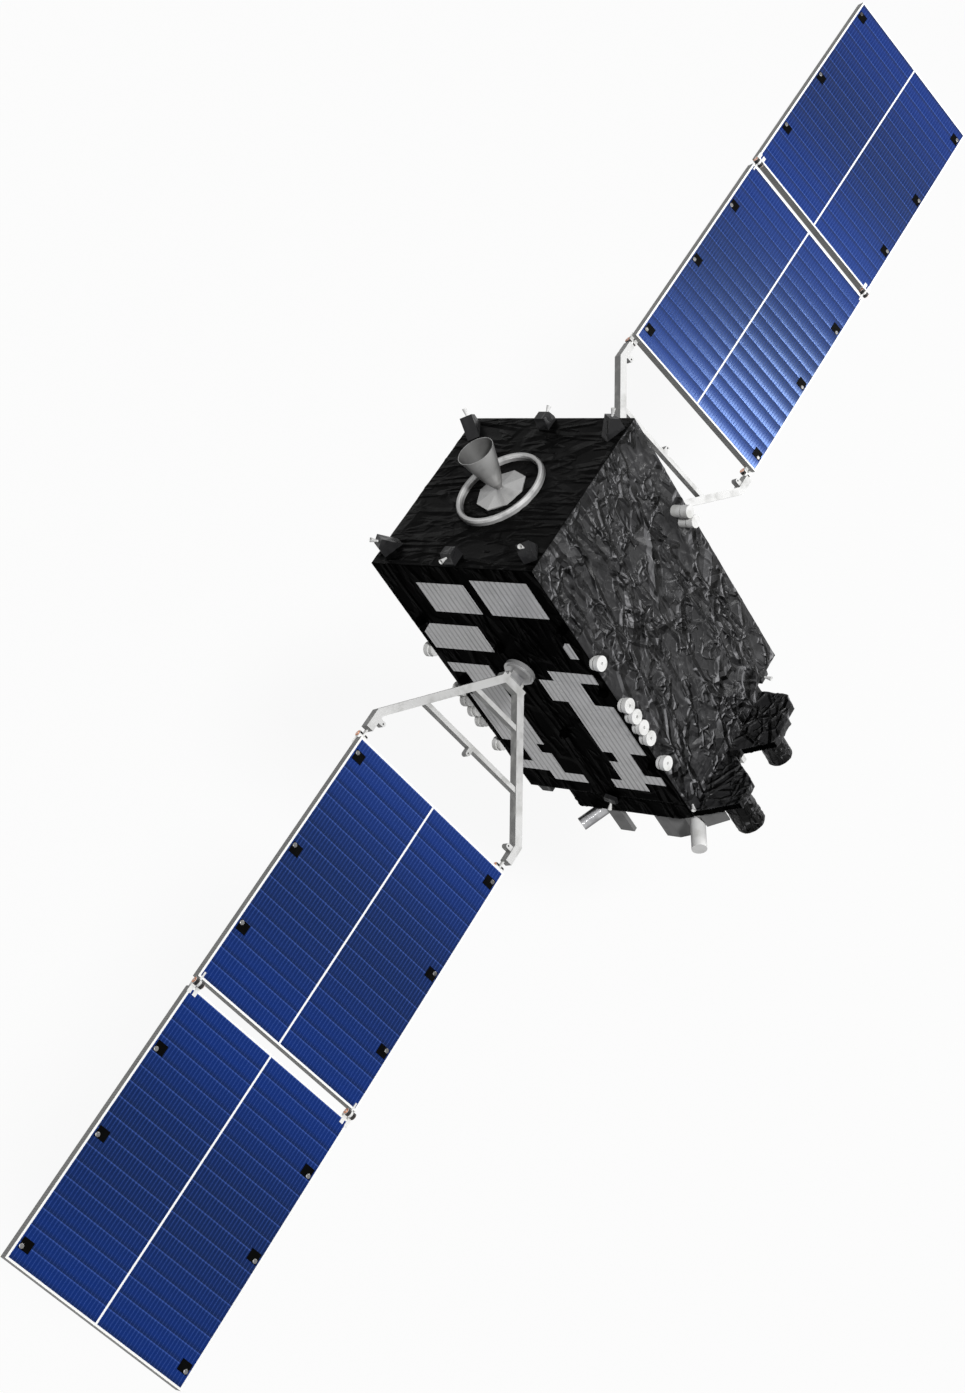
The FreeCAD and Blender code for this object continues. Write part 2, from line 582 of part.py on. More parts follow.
# ---------------------------------------------------------------- pots and cans on the +X and -X sides
potOutline = [
    ("0", "0"), ("knobRadius * 0.9", "0"), ("knobRadius * 0.9", "knobLength * 0.28"),
    ("knobNeck", "knobLength * 0.28"), ("knobNeck", "knobLength * 0.5"), ("knobRadius", "knobLength * 0.5"),
    ("knobRadius", "knobLength"), ("knobBore", "knobLength"), ("knobBore", "knobLength * 0.4"),
    ("0", "knobLength * 0.4")]
canOutline = [
    ("0", "0"), ("canRadius * 0.92", "0"), ("canRadius * 0.92", "canLength * 0.56"),
    ("canRadius * 0.8", "canLength * 0.56"), ("canRadius * 0.8", "canLength * 0.62"),
    ("canRadius", "canLength * 0.62"), ("canRadius", "canLength"), ("0", "canLength")]
sideRows = [
    # label, outline, place along Y, drops below the engine deck
    ("side_pots", potOutline, "knobInset - busDepth / 2", (1425, 2106, 2286, 2465, 2645, 3071)),
    ("side_cans", canOutline, "busDepth / 2 - canInset", (1209, 1362)),
]
for label, outline, y, drops in sideRows:
    for tag, sideX in (("front", 1), ("back", -1)):
        made = [place(turn(turned("%s%s%d" % (tag, label, down), outline), rotation(alongY, 90 * sideX)),
                      "%d * busWidth / 2" % sideX, y, deck + " - %d" % down) for down in drops]
        piece(together(tag + label, made), "%s_%s" % (label, tag))

# ---------------------------------------------------------------- wings
# A wing is built along its own X, out from the middle of the satellite, with its own Y across it
# and the cells facing its own Z. Then it is set on the -Y or the +Y side.
lean = math.radians(size("driveAngle"))
acrossWing = FreeCAD.Vector(math.cos(lean), 0, math.sin(lean))
faceWing = FreeCAD.Vector(-math.sin(lean), 0, math.cos(lean))


def crossRod(name, radius, x, low, high, z):
    """A rod along Y from low to high."""
    return turn(rod(name, radius, "(%s) - (%s)" % (high, low), x, low, z), rotation(alongX, -90))


def slabBetween(name, x, y, z):
    """A box between the two ends given for each axis."""
    runs = ["(%s) - (%s)" % (high, low) for low, high in (x, y, z)]
    return block(name, *runs, x[0], y[0], z[0])


def lug(name, x, y, tabX, tabY):
    """A bored boss on a tab that reaches back to the tube that carries it."""
    boss = rod(name + "Boss", "lugRadius", "braceDeep", x, y, "-braceDeep / 2")
    tab = slabBetween(name + "Tab", tabX, tabY, ("-braceDeep / 2", "braceDeep / 2"))
    bore = rod(name + "Bore", "lugBore", "yokeDeep", x, y, "-yokeDeep / 2")
    return cutFrom(name, joined(name + "Solid", [boss, tab]), bore)


def hub(tag):
    """Turning half of the array drive: a disc on a shaft, a block and the root hinge's pin."""
    disc = turned(tag + "Disc", [
        ("0", "0"), ("hubShaft", "0"), ("hubShaft", "hubDeep + hubGap"), ("hubRadius", "hubDeep + hubGap"),
        ("hubRadius", "hubDeep + hubGap + hubThick"), ("0", "hubDeep + hubGap + hubThick")])
    place(turn(disc, rotation(alongY, 90)), "hubFace - hubThick - hubGap - hubDeep")
    side = "rootEar - earThick / 2 - sideGap"
    tongue = slabBetween(tag + "Tongue", ("hubFace - tongueRoot", "rootHinge"), ("-(%s)" % side, side),
                         ("-tongueHalf", "tongueHalf"))
    nose = crossRod(tag + "Nose", "tongueHalf", "rootHinge", "-(%s)" % side, side, "0")
    pin = crossRod(tag + "Pin", "rootPin", "rootHinge", "-(rootEar + earThick)", "rootEar + earThick", "0")
    return joined(tag + "Hub", [disc, tongue, nose, pin])


def yoke(tag):
    """A frame of square tubes, with two ears at its root and three hold-down lugs."""
    half, depth = "yokeWide / 2", ("-yokeDeep / 2", "yokeDeep / 2")
    angle = "atan2(yokeSpread - yokeRoot; yokeBend - yokeStart)"
    cut = "%s / cos(%s)" % (half, angle)
    mitre = "%s * tan(%s / 2)" % (half, angle)
    parts = [slabBetween(tag + "Root", ("yokeStart - " + half, "yokeStart + " + half),
                         ("-(yokeRoot + %s)" % cut, "yokeRoot + " + cut), depth)]
    for side, name in ((1, "Left"), (-1, "Right")):
        outline = [
            ("yokeStart", "yokeRoot + " + cut), ("yokeBend - " + mitre, "yokeSpread + " + half),
            ("yokeEnd", "yokeSpread + " + half), ("yokeEnd", "yokeSpread - " + half),
            ("yokeBend + " + mitre, "yokeSpread - " + half), ("yokeStart", "yokeRoot - " + cut)]
        outline = [(x, "%d * (%s)" % (side, y)) for x, y in outline]
        parts.append(prism(tag + "Arm" + name, "XY", outline, "yokeDeep", both=True))
        ear = ("%d * rootEar - earThick / 2" % side, "%d * rootEar + earThick / 2" % side)
        plate = slabBetween(tag + "Ear" + name, ("rootHinge", "yokeStart"), ear, ("-rootEye", "rootEye"))
        eye = crossRod(tag + "Eye" + name, "rootEye", "rootHinge", *ear, "0")
        parts += [plate, eye]
    for name, x in (("Inner", "braceInner"), ("Outer", "braceOuter")):
        run = "yokeRoot + (%s - yokeStart) * tan(%s)" % (x, angle)
        parts.append(slabBetween(tag + "Brace" + name, (x + " - braceWide / 2", x + " + braceWide / 2"),
                                 ("-(%s)" % run, run), ("-braceDeep / 2", "braceDeep / 2")))
    parts.append(lug(tag + "LugMiddle", "lugMiddle", "0",
                     ("braceOuter", "lugMiddle"), ("-lugRadius", "lugRadius")))
    for side, name in ((1, "Left"), (-1, "Right")):
        ends = ["%d * lugAcross" % side, "%d * yokeSpread" % side]
        parts.append(lug(tag + "Lug" + name, "lugEnd", "%d * lugAcross" % side,
                         ("lugEnd - lugRadius", "lugEnd + lugRadius"), ends[::side]))
    bore = crossRod(tag + "RootBore", "rootPin + pinGap", "rootHinge", "-rootEar - earThick",
                    "rootEar + earThick", "0")
    return cutFrom(tag + "Yoke", joined(tag + "YokeSolid", parts), bore)


def fittings(tag, hinge, end, skin, outward, bored):
    """One side of a hinge line: a leaf on each edge of the wing, or a pair of them with bores.

    hinge is the line's place along X and Z, end the face that a leaf stands on, skin the face
    that its plate lies on, outward the way along X from the line to that face."""
    hingeX, hingeZ = hinge
    below = skin[0] == "low"
    made = []
    for side, edge in ((1, "Left"), (-1, "Right")):
        middle = "%d * hingeAcross" % side
        pitch = "(bladeThick / 2 + sideGap + barrelLength / 2)"
        leaves = [middle + " - " + pitch, middle + " + " + pitch] if bored else [middle]
        wide = "barrelLength / 2" if bored else "bladeThick / 2"
        for number, leaf in enumerate(leaves):
            name = "%s%s%d" % (tag, edge, number)
            y = ("%s - %s" % (leaf, wide), "%s + %s" % (leaf, wide))
            web = ("%s - armDeep" % hingeZ, hingeZ) if below else (hingeZ, "%s + armDeep" % hingeZ)
            plate = (skin[1], hingeZ) if below else (hingeZ, skin[1])
            solids = [
                slabBetween(name + "Web", (hingeX, end)[::outward], y, web),
                slabBetween(name + "Plate", (end, "%s + %d * plateRun" % (end, outward))[::outward], y, plate),
                crossRod(name + "Eye", "barrelRadius", hingeX, *y, hingeZ)]
            if bored:
                bore = crossRod(name + "Bore", "hingePin + pinGap", hingeX, *y, hingeZ)
                made.append(cutFrom(name, joined(name + "Leaf", solids), bore))
                continue
            reach = "(bladeThick / 2 + sideGap + barrelLength + pinOut)"
            solids.append(crossRod(name + "Pin", "hingePin", hingeX, "%s - %s" % (middle, reach),
                                   "%s + %s" % (middle, reach), hingeZ))
            made.append(joined(name, solids))
    return together(tag, made)


def panel(name, start):
    return slabBetween(name, (start, start + " + panelLength"), ("-panelWidth / 2", "panelWidth / 2"),
                       ("-panelBack", "panelFront"))


tipStart = "panelStart + panelLength + panelGap"
rootLine = ("panelHinge", "(-panelHingeDrop)")
tipLine = ("(panelStart + panelLength + panelGap / 2)", "tipHingeRise")
for tag, side in (("near", -1), ("far", 1)):
    stand = turned(tag + "Housing", [
        ("hubShaft + pinGap", "0"), ("housingRadius", "0"), ("housingRadius", "housingThick"),
        ("hubShaft + pinGap", "housingThick")])
    place(turn(stand, rotation(alongY, 90)), "busDepth / 2")
    wing = [
        (together(tag + "HousingSet", [stand]), "drive_housing"),
        (hub(tag), "drive_hub"),
        (yoke(tag), "yoke"),
        (fittings(tag + "YokeHinges", rootLine, "yokeEnd", ("high", "(-yokeDeep / 2)"), -1, False),
         "yoke_hinges"),
        (together(tag + "InnerPanelSet", [panel(tag + "InnerPanel", "panelStart")]), "inner_panel"),
        (fittings(tag + "RootHinges", rootLine, "panelStart", ("high", "(-panelBack)"), 1, True),
         "inner_root_hinges"),
        (fittings(tag + "TipHinges", tipLine, "panelStart + panelLength", ("low", "panelFront"), -1, False),
         "inner_tip_hinges"),
        (together(tag + "OuterPanelSet", [panel(tag + "OuterPanel", tipStart)]), "outer_panel"),
        (fittings(tag + "OuterHinges", tipLine, tipStart, ("low", "panelFront"), 1, True), "outer_hinges"),
    ]
    frame = FreeCAD.Rotation(FreeCAD.Vector(0, side, 0), acrossWing * -side, faceWing, "XYZ")
    for thing, label in wing:
        turn(place(thing, z=deck + " - axisDrop"), frame)
        piece(thing, "%s_%s" % (tag, label))

# ---------------------------------------------------------------- checks and files
doc.recompute()
for thing in doc.Objects:
    if "Invalid" in thing.State or "Error" in thing.State:
        raise SystemExit("%s: %s" % (thing.Name, thing.State))
for thing in pieces:
    if thing.Shape.isNull() or not thing.Shape.isValid() or not thing.Shape.Solids:
        raise SystemExit("%s has no valid solid" % thing.Label)

os.makedirs("parts", exist_ok=True)
for thing in pieces:
    thing.Shape.exportStep("parts/%s.step" % thing.Label)
print("%d sub-parts written" % len(pieces))
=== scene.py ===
import json
import math
import bmesh
import bpy
from mathutils import Matrix, Vector, noise


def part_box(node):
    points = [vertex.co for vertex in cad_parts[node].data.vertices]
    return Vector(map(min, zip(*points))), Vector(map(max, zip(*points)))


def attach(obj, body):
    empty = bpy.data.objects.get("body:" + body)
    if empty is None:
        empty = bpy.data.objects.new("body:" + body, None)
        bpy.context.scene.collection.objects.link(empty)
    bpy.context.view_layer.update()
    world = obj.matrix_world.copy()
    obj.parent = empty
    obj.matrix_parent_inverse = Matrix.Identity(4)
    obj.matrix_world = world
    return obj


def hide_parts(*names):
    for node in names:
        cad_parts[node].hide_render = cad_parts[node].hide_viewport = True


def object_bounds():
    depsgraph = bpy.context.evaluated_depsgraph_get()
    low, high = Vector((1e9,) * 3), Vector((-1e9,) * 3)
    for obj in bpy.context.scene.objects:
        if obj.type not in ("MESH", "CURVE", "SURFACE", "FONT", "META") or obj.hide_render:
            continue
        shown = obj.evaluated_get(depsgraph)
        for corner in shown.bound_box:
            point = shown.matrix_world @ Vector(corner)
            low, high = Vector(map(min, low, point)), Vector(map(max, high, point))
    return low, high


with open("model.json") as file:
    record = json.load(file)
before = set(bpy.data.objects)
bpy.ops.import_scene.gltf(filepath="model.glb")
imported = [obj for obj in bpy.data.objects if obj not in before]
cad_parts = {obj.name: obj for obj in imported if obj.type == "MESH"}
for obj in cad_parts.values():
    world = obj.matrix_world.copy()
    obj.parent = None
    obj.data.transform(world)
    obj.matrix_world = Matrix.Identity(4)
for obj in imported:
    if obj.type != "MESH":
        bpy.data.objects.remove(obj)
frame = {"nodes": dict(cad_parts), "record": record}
nodes = frame["nodes"]
joints = {joint["name"]: joint for joint in frame["record"]["behaviour"]["joints"]}
cadBox = [list(corner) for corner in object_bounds()]


def rgb(red, green, blue):  # a screen colour from 0 to 255, as the shaders take it
    parts = [value / 255 for value in (red, green, blue)]
    return tuple(p / 12.92 if p < 0.04 else ((p + 0.055) / 1.055) ** 2.4 for p in parts) + (1,)


# ---- shader maths

class Wire:  # a node's output, so that shader maths reads as an expression
    def __init__(self, shading, socket):
        self.shading = shading
        self.socket = socket

    def maths(self, operation, first, second=0.0):
        return self.shading.node("ShaderNodeMath", {"operation": operation}, {0: first, 1: second})

    def __add__(self, other):
        return self.maths("ADD", self, other)

    def __radd__(self, other):
        return self.maths("ADD", other, self)

    def __sub__(self, other):
        return self.maths("SUBTRACT", self, other)

    def __rsub__(self, other):
        return self.maths("SUBTRACT", other, self)

    def __mul__(self, other):
        return self.maths("MULTIPLY", self, other)

    def __rmul__(self, other):
        return self.maths("MULTIPLY", other, self)

    def __truediv__(self, other):
        return self.maths("DIVIDE", self, other)

    def __rtruediv__(self, other):
        return self.maths("DIVIDE", other, self)

    def __mod__(self, other):
        return self.maths("FLOORED_MODULO", self, other)

    def __rmod__(self, other):
        return self.maths("FLOORED_MODULO", other, self)

    def __gt__(self, other):
        return self.maths("GREATER_THAN", self, other)

    def __lt__(self, other):
        return self.maths("LESS_THAN", self, other)

    def __abs__(self):
        return self.maths("ABSOLUTE", self)


class Shading:  # the nodes of a material or of the sky
    def __init__(self, tree):
        self.tree = tree

    def node(self, kind, settings, values, output=0):  # settings first, then its sockets' values or links
        made = self.tree.nodes.new(kind)
        for name, value in settings.items():
            setattr(made, name, value)
        for socket, value in values.items():
            if isinstance(value, Wire):
                self.tree.links.new(value.socket, made.inputs[socket])
            else:
                made.inputs[socket].default_value = value
        return Wire(self, made.outputs[output])

    def seenDirectly(self):  # 1 for what the camera, glass and gloss see, 0 for light on the object
        total = self.node("ShaderNodeLightPath", {}, {}, "Is Camera Ray")
        for ray in ("Is Glossy Ray", "Is Transmission Ray"):
            other = self.node("ShaderNodeLightPath", {}, {}, ray)
            total = self.node("ShaderNodeMath", {"operation": "ADD", "use_clamp": True}, {0: total, 1: other})
        return total

    def show(self, output, share, lit, plain):  # mixes what lights the object with what is seen behind it
        mix = self.node("ShaderNodeMixShader", {}, {0: share, 1: Wire(self, lit.outputs[0]), 2: plain})
        self.tree.links.new(mix.socket, self.tree.nodes[output].inputs["Surface"])


class Finish(Shading):  # a material and the nodes behind it
    def __init__(self, name, fixed):
        self.material = bpy.data.materials.new(name)
        self.material.use_nodes = True
        super().__init__(self.material.node_tree)
        self.shader = next(n for n in self.tree.nodes if n.type == "BSDF_PRINCIPLED")
        for socket, value in fixed.items():
            self.shader.inputs[socket].default_value = value
        self.place = self.node("ShaderNodeTexCoord", {}, {}, "Object")

    def feed(self, socket, wire):
        self.tree.links.new(wire.socket, self.shader.inputs[socket])

    def cloud(self, scale, detail=3.0, place=None):  # soft noise, about 0.5
        return self.node("ShaderNodeTexNoise", {},
                         {"Vector": place or self.place, "Scale": scale, "Detail": detail})

    def stretched(self, x, y, z, place=None):
        return self.node("ShaderNodeVectorMath", {"operation": "MULTIPLY"},
                         {0: place or self.place, 1: (x, y, z)})

    def axes(self, place=None):
        return [self.node("ShaderNodeSeparateXYZ", {}, {0: place or self.place}, axis)
                for axis in ("X", "Y", "Z")]

    def band(self, value, low, high, start=0.0, end=1.0):  # from start to end as value goes low to high
        return self.node("ShaderNodeMapRange", {"interpolation_type": "SMOOTHSTEP"},
                         {0: value, 1: low, 2: high, 3: start, 4: end})

    def tint(self, share, low, high):
        return self.node("ShaderNodeMix", {"data_type": "RGBA"}, {0: share, 6: low, 7: high}, 2)

    def turnBack(self, direction):  # a world direction in the object's own axes
        return self.node("ShaderNodeVectorTransform",
                         {"vector_type": "VECTOR", "convert_from": "WORLD", "convert_to": "OBJECT"},
                         {0: direction})

    def facing(self):
        return self.turnBack(self.node("ShaderNodeNewGeometry", {}, {}, "Normal"))

    def glancing(self, low, high):  # 1 where a surface is seen edge on
        return self.band(self.node("ShaderNodeLayerWeight", {}, {"Blend": 0.5}, "Facing"), low, high)

    def dot(self, first, second):
        return self.node("ShaderNodeVectorMath", {"operation": "DOT_PRODUCT"}, {0: first, 1: second}, "Value")

    def relief(self, height, depth):
        bump = self.node("ShaderNodeBump", {}, {"Strength": 1.0, "Distance": depth, "Height": height}, "Normal")
        self.feed("Normal", bump)
        return bump


# ---- the wings' own axes

def wingAxes(tag):  # out along the wing, across it, and off its cell side, with the middle of its root
    across = Vector(joints[tag + "_root_hinge"]["axis"])
    low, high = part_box(tag + "_drive_housing")
    middle = (low + high) / 2
    out = Vector((0, math.copysign(1, middle.y), 0))
    across = across if out.cross(across).x > 0 else -across
    off = out.cross(across)
    return Matrix((out, across, off)).transposed().to_4x4(), Vector((middle.x, 0, middle.z))


def wingMatrix(tag):
    turn, root = wingAxes(tag)
    return Matrix.Translation(root) @ turn


def localBox(tag, node):  # a node's box in its wing's own axes
    back = wingMatrix(tag).inverted()
    spots = [back @ vert.co for vert in nodes[node].data.vertices]
    return [[pick(spot[axis] for spot in spots) for axis in range(3)] for pick in (min, max)]


wingTags = ("near", "far")
panelParts = ("inner", "outer")
innerLow, innerHigh = localBox("near", "near_inner_panel")
outerLow, outerHigh = localBox("near", "near_outer_panel")

# ---- finishes

foilCreases = [  # cells to a metre, half width and height of the creases, their lie, and where they come
    {"cells": 1.6, "half": 0.046, "tall": 0.060, "turn": 0.3, "pull": 0.34, "from": 0.38, "to": 0.43},
    {"cells": 2.8, "half": 0.036, "tall": 0.047, "turn": 1.1, "pull": 0.40, "from": 0.40, "to": 0.45},
    {"cells": 4.4, "half": 0.027, "tall": 0.035, "turn": 0.6, "pull": 0.50, "from": 0.46, "to": 0.51},
    {"cells": 8.0, "half": 0.018, "tall": 0.022, "turn": 0.0, "pull": 0.80, "from": 0.54, "to": 0.59},
]
foilPaintedLightAndSpots = {  # crease sides that lean one fixed way are painted paler, a painted highlight, and the others darker, a painted shade; then pale spots and dull patches
    "towards": (0.25, -0.45, 0.85), "pale": (0.20, 0.60), "dark": (-0.10, -0.40),
    "spots": 7.0, "spotted": (0.46, 0.8), "spotShare": 0.15, "dull": 5.0, "dulled": (0.3, 0.7),
}
foilWaves = {  # how the creases wander and where they stop, and the grain and lumps between them
    "wander": (0.16, 0.16, 0.16), "bends": 1.5, "gaps": 0.4, "grain": 60.0, "grainTall": 0.0012,
    "lumps": 5.0, "lumpTall": 0.004,
}
foilLooks = {  # how black each foil is, its painted highlight (its pale spots too) and painted shade, its gloss and roughness, how deep and how stretched its creases
    "blackFoil": {"dark": rgb(41, 41, 42), "highlightAndSpots": rgb(128, 128, 130), "foot": rgb(8, 8, 8), "gloss": 0.12,
                  "smooth": 0.30, "rough": 0.38, "deep": 1.0, "stretch": (1.0, 1.0, 0.8)},
    # painted shade: a darker, duller copy of the black foil for the engine deck
    "shadedDeckFoil": {"dark": rgb(7, 7, 7), "highlightAndSpots": rgb(48, 48, 49), "foot": rgb(2, 2, 2), "gloss": 0.018,
                 "smooth": 0.26, "rough": 0.40, "deep": 0.5, "stretch": (0.30, 1.2, 1.0)},
    # painted shade: a near-black, glossless copy of the black foil for the sides that face along Y
    "shadedSideFoil": {"dark": rgb(1, 1, 1), "highlightAndSpots": rgb(16, 16, 16), "foot": rgb(0, 0, 0), "gloss": 0.002,
                 "smooth": 0.24, "rough": 0.40, "deep": 0.3, "stretch": (1.0, 1.0, 0.5)},
    "housingFoil": {"dark": rgb(40, 40, 41), "highlightAndSpots": rgb(84, 84, 85), "foot": rgb(16, 16, 16), "gloss": 0.14,
                    "smooth": 0.26, "rough": 0.34, "deep": 0.12, "stretch": (1.0, 1.0, 1.0)},
    "baffleFoil": {"dark": rgb(8, 8, 8), "highlightAndSpots": rgb(96, 96, 97), "foot": rgb(0, 0, 0), "gloss": 0.07,
                   "smooth": 0.24, "rough": 0.36, "deep": 1.0, "stretch": (2.0, 2.0, 1.6)},
}


def foilFinish(name, look):
    foil = Finish(name, {"Specular IOR Level": look["gloss"]})
    drawn = foil.stretched(*look["stretch"])
    sway = foil.node("ShaderNodeTexNoise", {}, {"Vector": drawn, "Scale": foilWaves["bends"], "Detail": 1.0},
                     "Color")
    warped = foil.node("ShaderNodeVectorMath", {"operation": "MULTIPLY_ADD"},
                       {0: sway, 1: foilWaves["wander"], 2: drawn})
    height = foil.cloud(foilWaves["grain"], 2.0) * foilWaves["grainTall"]
    height = height + foil.cloud(foilWaves["lumps"], 1.0) * (foilWaves["lumpTall"] * look["deep"])
    for crease in foilCreases:
        lie = foil.node("ShaderNodeMapping", {}, {"Vector": warped, "Rotation": (crease["turn"],) * 3,
                                                  "Scale": (1, 1, crease["pull"])})
        edge = foil.node("ShaderNodeTexVoronoi", {"feature": "DISTANCE_TO_EDGE"},
                         {"Vector": lie, "Scale": crease["cells"]}, "Distance")
        fold = foil.node("ShaderNodeMapRange", {},
                         {0: edge, 1: 0.0, 2: crease["half"] * crease["cells"], 3: 1.0, 4: 0.0})
        fold = fold * foil.band(foil.cloud(crease["cells"] * foilWaves["gaps"], 1.0),
                                crease["from"], crease["to"])
        height = height + fold * (crease["tall"] * look["deep"])
    bent = foil.node("ShaderNodeVectorMath", {"operation": "SUBTRACT"},
                     {0: foil.turnBack(foil.relief(height, 1.0)), 1: foil.facing()})
    # painted light: crease sides that lean towards a fixed direction are painted paler, a painted highlight,
    # and those leaning away are painted darker, a painted shade
    paintedLightLean = foil.dot(bent, foilPaintedLightAndSpots["towards"])
    base = foil.tint(foil.band(paintedLightLean, *foilPaintedLightAndSpots["dark"]), look["dark"], look["foot"])
    spots = foil.band(foil.cloud(foilPaintedLightAndSpots["spots"], 5.0), *foilPaintedLightAndSpots["spotted"]) * foilPaintedLightAndSpots["spotShare"]
    foil.feed("Base Color", foil.tint(foil.band(paintedLightLean, *foilPaintedLightAndSpots["pale"]) + spots, base, look["highlightAndSpots"]))
    foil.feed("Roughness", foil.band(foil.cloud(foilPaintedLightAndSpots["dull"], 4.0), *foilPaintedLightAndSpots["dulled"],
                                     look["smooth"], look["rough"]))
    return foil.material


paintLooks = {  # the coat, its marks, the painted shade on its sides and on its glancing rims, then how rough, metallic and deep it is
    "whitePaint": {"main": rgb(222, 222, 221), "marks": rgb(198, 198, 195), "rough": 0.52, "metal": 0.0,
                   "depth": 0.0004},
    "greyPaint": {"main": rgb(104, 104, 104), "marks": rgb(90, 90, 90), "rough": 0.5, "metal": 0.0,
                  "depth": 0.0004},
    "yokePaint": {"main": rgb(204, 204, 203), "marks": rgb(178, 178, 176), "sides": rgb(134, 134, 133),
                  "rough": 0.46, "metal": 0.0, "depth": 0.0006},
    "ringMetal": {"main": rgb(214, 214, 213), "marks": rgb(168, 168, 168), "rim": rgb(112, 112, 112),
                  "rough": 0.30, "metal": 0.35, "depth": 0.0003},
    "driveMetal": {"main": rgb(172, 172, 172), "marks": rgb(132, 132, 134), "rough": 0.36, "metal": 0.5,
                   "depth": 0.0003},
    "hingeMetal": {"main": rgb(232, 232, 230), "marks": rgb(196, 196, 194), "rough": 0.4, "metal": 0.1,
                   "depth": 0.0003},
    "polishedMetal": {"main": rgb(176, 176, 178), "marks": rgb(110, 110, 112), "rim": rgb(16, 16, 17),
                      "rough": 0.16, "metal": 0.95, "depth": 0.0006},
    "barrelMetal": {"main": rgb(52, 50, 49), "marks": rgb(24, 23, 23), "rough": 0.34, "metal": 0.6,
                    "depth": 0.0004},
    "copperMetal": {"main": rgb(196, 132, 96), "marks": rgb(140, 84, 58), "rough": 0.3, "metal": 0.8,
                    "depth": 0.0002},
    "knobMetal": {"main": rgb(120, 120, 120), "marks": rgb(60, 60, 60), "rough": 0.34, "metal": 0.5,
                  "depth": 0.0003},
    "patchBlack": {"main": rgb(1, 1, 1), "marks": rgb(7, 7, 7), "rough": 0.5, "metal": 0.0,
                   "depth": 0.0006, "gloss": 0.03},
}
paintWearAndShade = {  # scale and spread of the marks, the grain and waves of the coat, and what they do to its gloss; then where the painted shade of glancing rims and of sides begins
    "gloss": 0.35, "marks": 6.0, "marked": (0.46, 0.74), "grain": 240.0, "waves": 30.0, "wavy": 2,
    "dullMarks": 0.1, "dullGrain": 0.08, "less": 0.06, "rim": (0.12, 0.8), "flat": 0.7,
}


def paintFinish(name, look):
    gloss = look.get("gloss", paintWearAndShade["gloss"])
    paint = Finish(name, {"Metallic": look["metal"], "Specular IOR Level": gloss})
    marks = paint.band(paint.cloud(paintWearAndShade["marks"], 6.0), *paintWearAndShade["marked"])
    grain = paint.cloud(paintWearAndShade["grain"], 2.0)
    main = look["main"]
    # painted shade: faces that face neither the wing's cell side nor its back are painted the darker sides
    # colour
    if "sides" in look:
        front = paint.dot(paint.facing(), tuple(wingAxes("far")[0].col[2])[:3])
        main = paint.tint(abs(front) < paintWearAndShade["flat"], main, look["sides"])
    # painted shade: darker where the surface is seen edge on
    if "rim" in look:
        main = paint.tint(paint.glancing(*paintWearAndShade["rim"]), main, look["rim"])
    paint.feed("Base Color", paint.tint(marks, main, look["marks"]))
    dull = marks * paintWearAndShade["dullMarks"] + grain * paintWearAndShade["dullGrain"]
    paint.feed("Roughness", dull + (look["rough"] - paintWearAndShade["less"]))
    paint.relief(grain + paint.cloud(paintWearAndShade["waves"], 3.0) * paintWearAndShade["wavy"], look["depth"])
    return paint.material


finishes = {name: foilFinish(name, look) for name, look in foilLooks.items()}
finishes.update({name: paintFinish(name, look) for name, look in paintLooks.items()})

nozzleLook = {
    "lip": rgb(196, 196, 195), "throat": rgb(160, 159, 158), "soot": rgb(84, 83, 82),
    "inside": rgb(122, 122, 121), "rim": rgb(46, 46, 46), "metal": 0.45, "gloss": 0.4, "turns": 90.0,
    "smoke": 9.0, "smoked": (0.45, 0.8), "sooty": 0.35, "glancing": (0.3, 0.8), "rimShare": 0.6,
    "rough": 0.32, "roughTurns": 0.16, "roughSmoke": 0.1, "deep": 0.0006,
}


def nozzleFinish():  # spun metal, darker towards the throat, with faint turning marks and a painted shade where it is seen edge on
    bell = Finish("nozzleMetal", {"Metallic": nozzleLook["metal"], "Specular IOR Level": nozzleLook["gloss"]})
    low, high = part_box("apogee_engine")
    rise = bell.band(bell.axes()[2], low.z, high.z)
    turned = bell.cloud(1.0, 2.0, bell.stretched(1.0, 1.0, nozzleLook["turns"]))
    smoky = bell.band(bell.cloud(nozzleLook["smoke"], 5.0), *nozzleLook["smoked"])
    shade = bell.tint(rise, nozzleLook["throat"], nozzleLook["lip"])
    fromAxis = bell.node("ShaderNodeVectorMath", {"operation": "SUBTRACT"},
                         {0: bell.place, 1: tuple((low + high) / 2)})
    outwards = bell.dot(bell.stretched(1, 1, 0, fromAxis), bell.facing())
    shade = bell.tint(outwards < 0, shade, nozzleLook["inside"])
    # painted shade: darker where the bell is seen edge on
    shade = bell.tint(bell.glancing(*nozzleLook["glancing"]) * nozzleLook["rimShare"], shade, nozzleLook["rim"])
    bell.feed("Base Color", bell.tint(smoky * nozzleLook["sooty"], shade, nozzleLook["soot"]))
    dull = turned * nozzleLook["roughTurns"] + smoky * nozzleLook["roughSmoke"]
    bell.feed("Roughness", dull + nozzleLook["rough"])
    bell.relief(turned, nozzleLook["deep"])
    return bell.material


finishes["nozzleMetal"] = nozzleFinish()

radiatorLook = {
    "tile": rgb(212, 212, 213), "stripe": rgb(148, 148, 149), "joint": rgb(120, 120, 121), "pitch": 0.0755,
    "rows": 0.46, "gloss": 0.3, "metal": 0.1, "line": (0.28, 0.44), "uneven": 0.3, "jointFrom": 0.49,
    "jointShare": 0.12, "smears": 3.0, "smeared": (0.4, 0.7), "smearShare": 0.25, "rough": 0.22,
    "roughSmear": 0.12, "roughLine": 0.1, "deep": 0.0004,
}


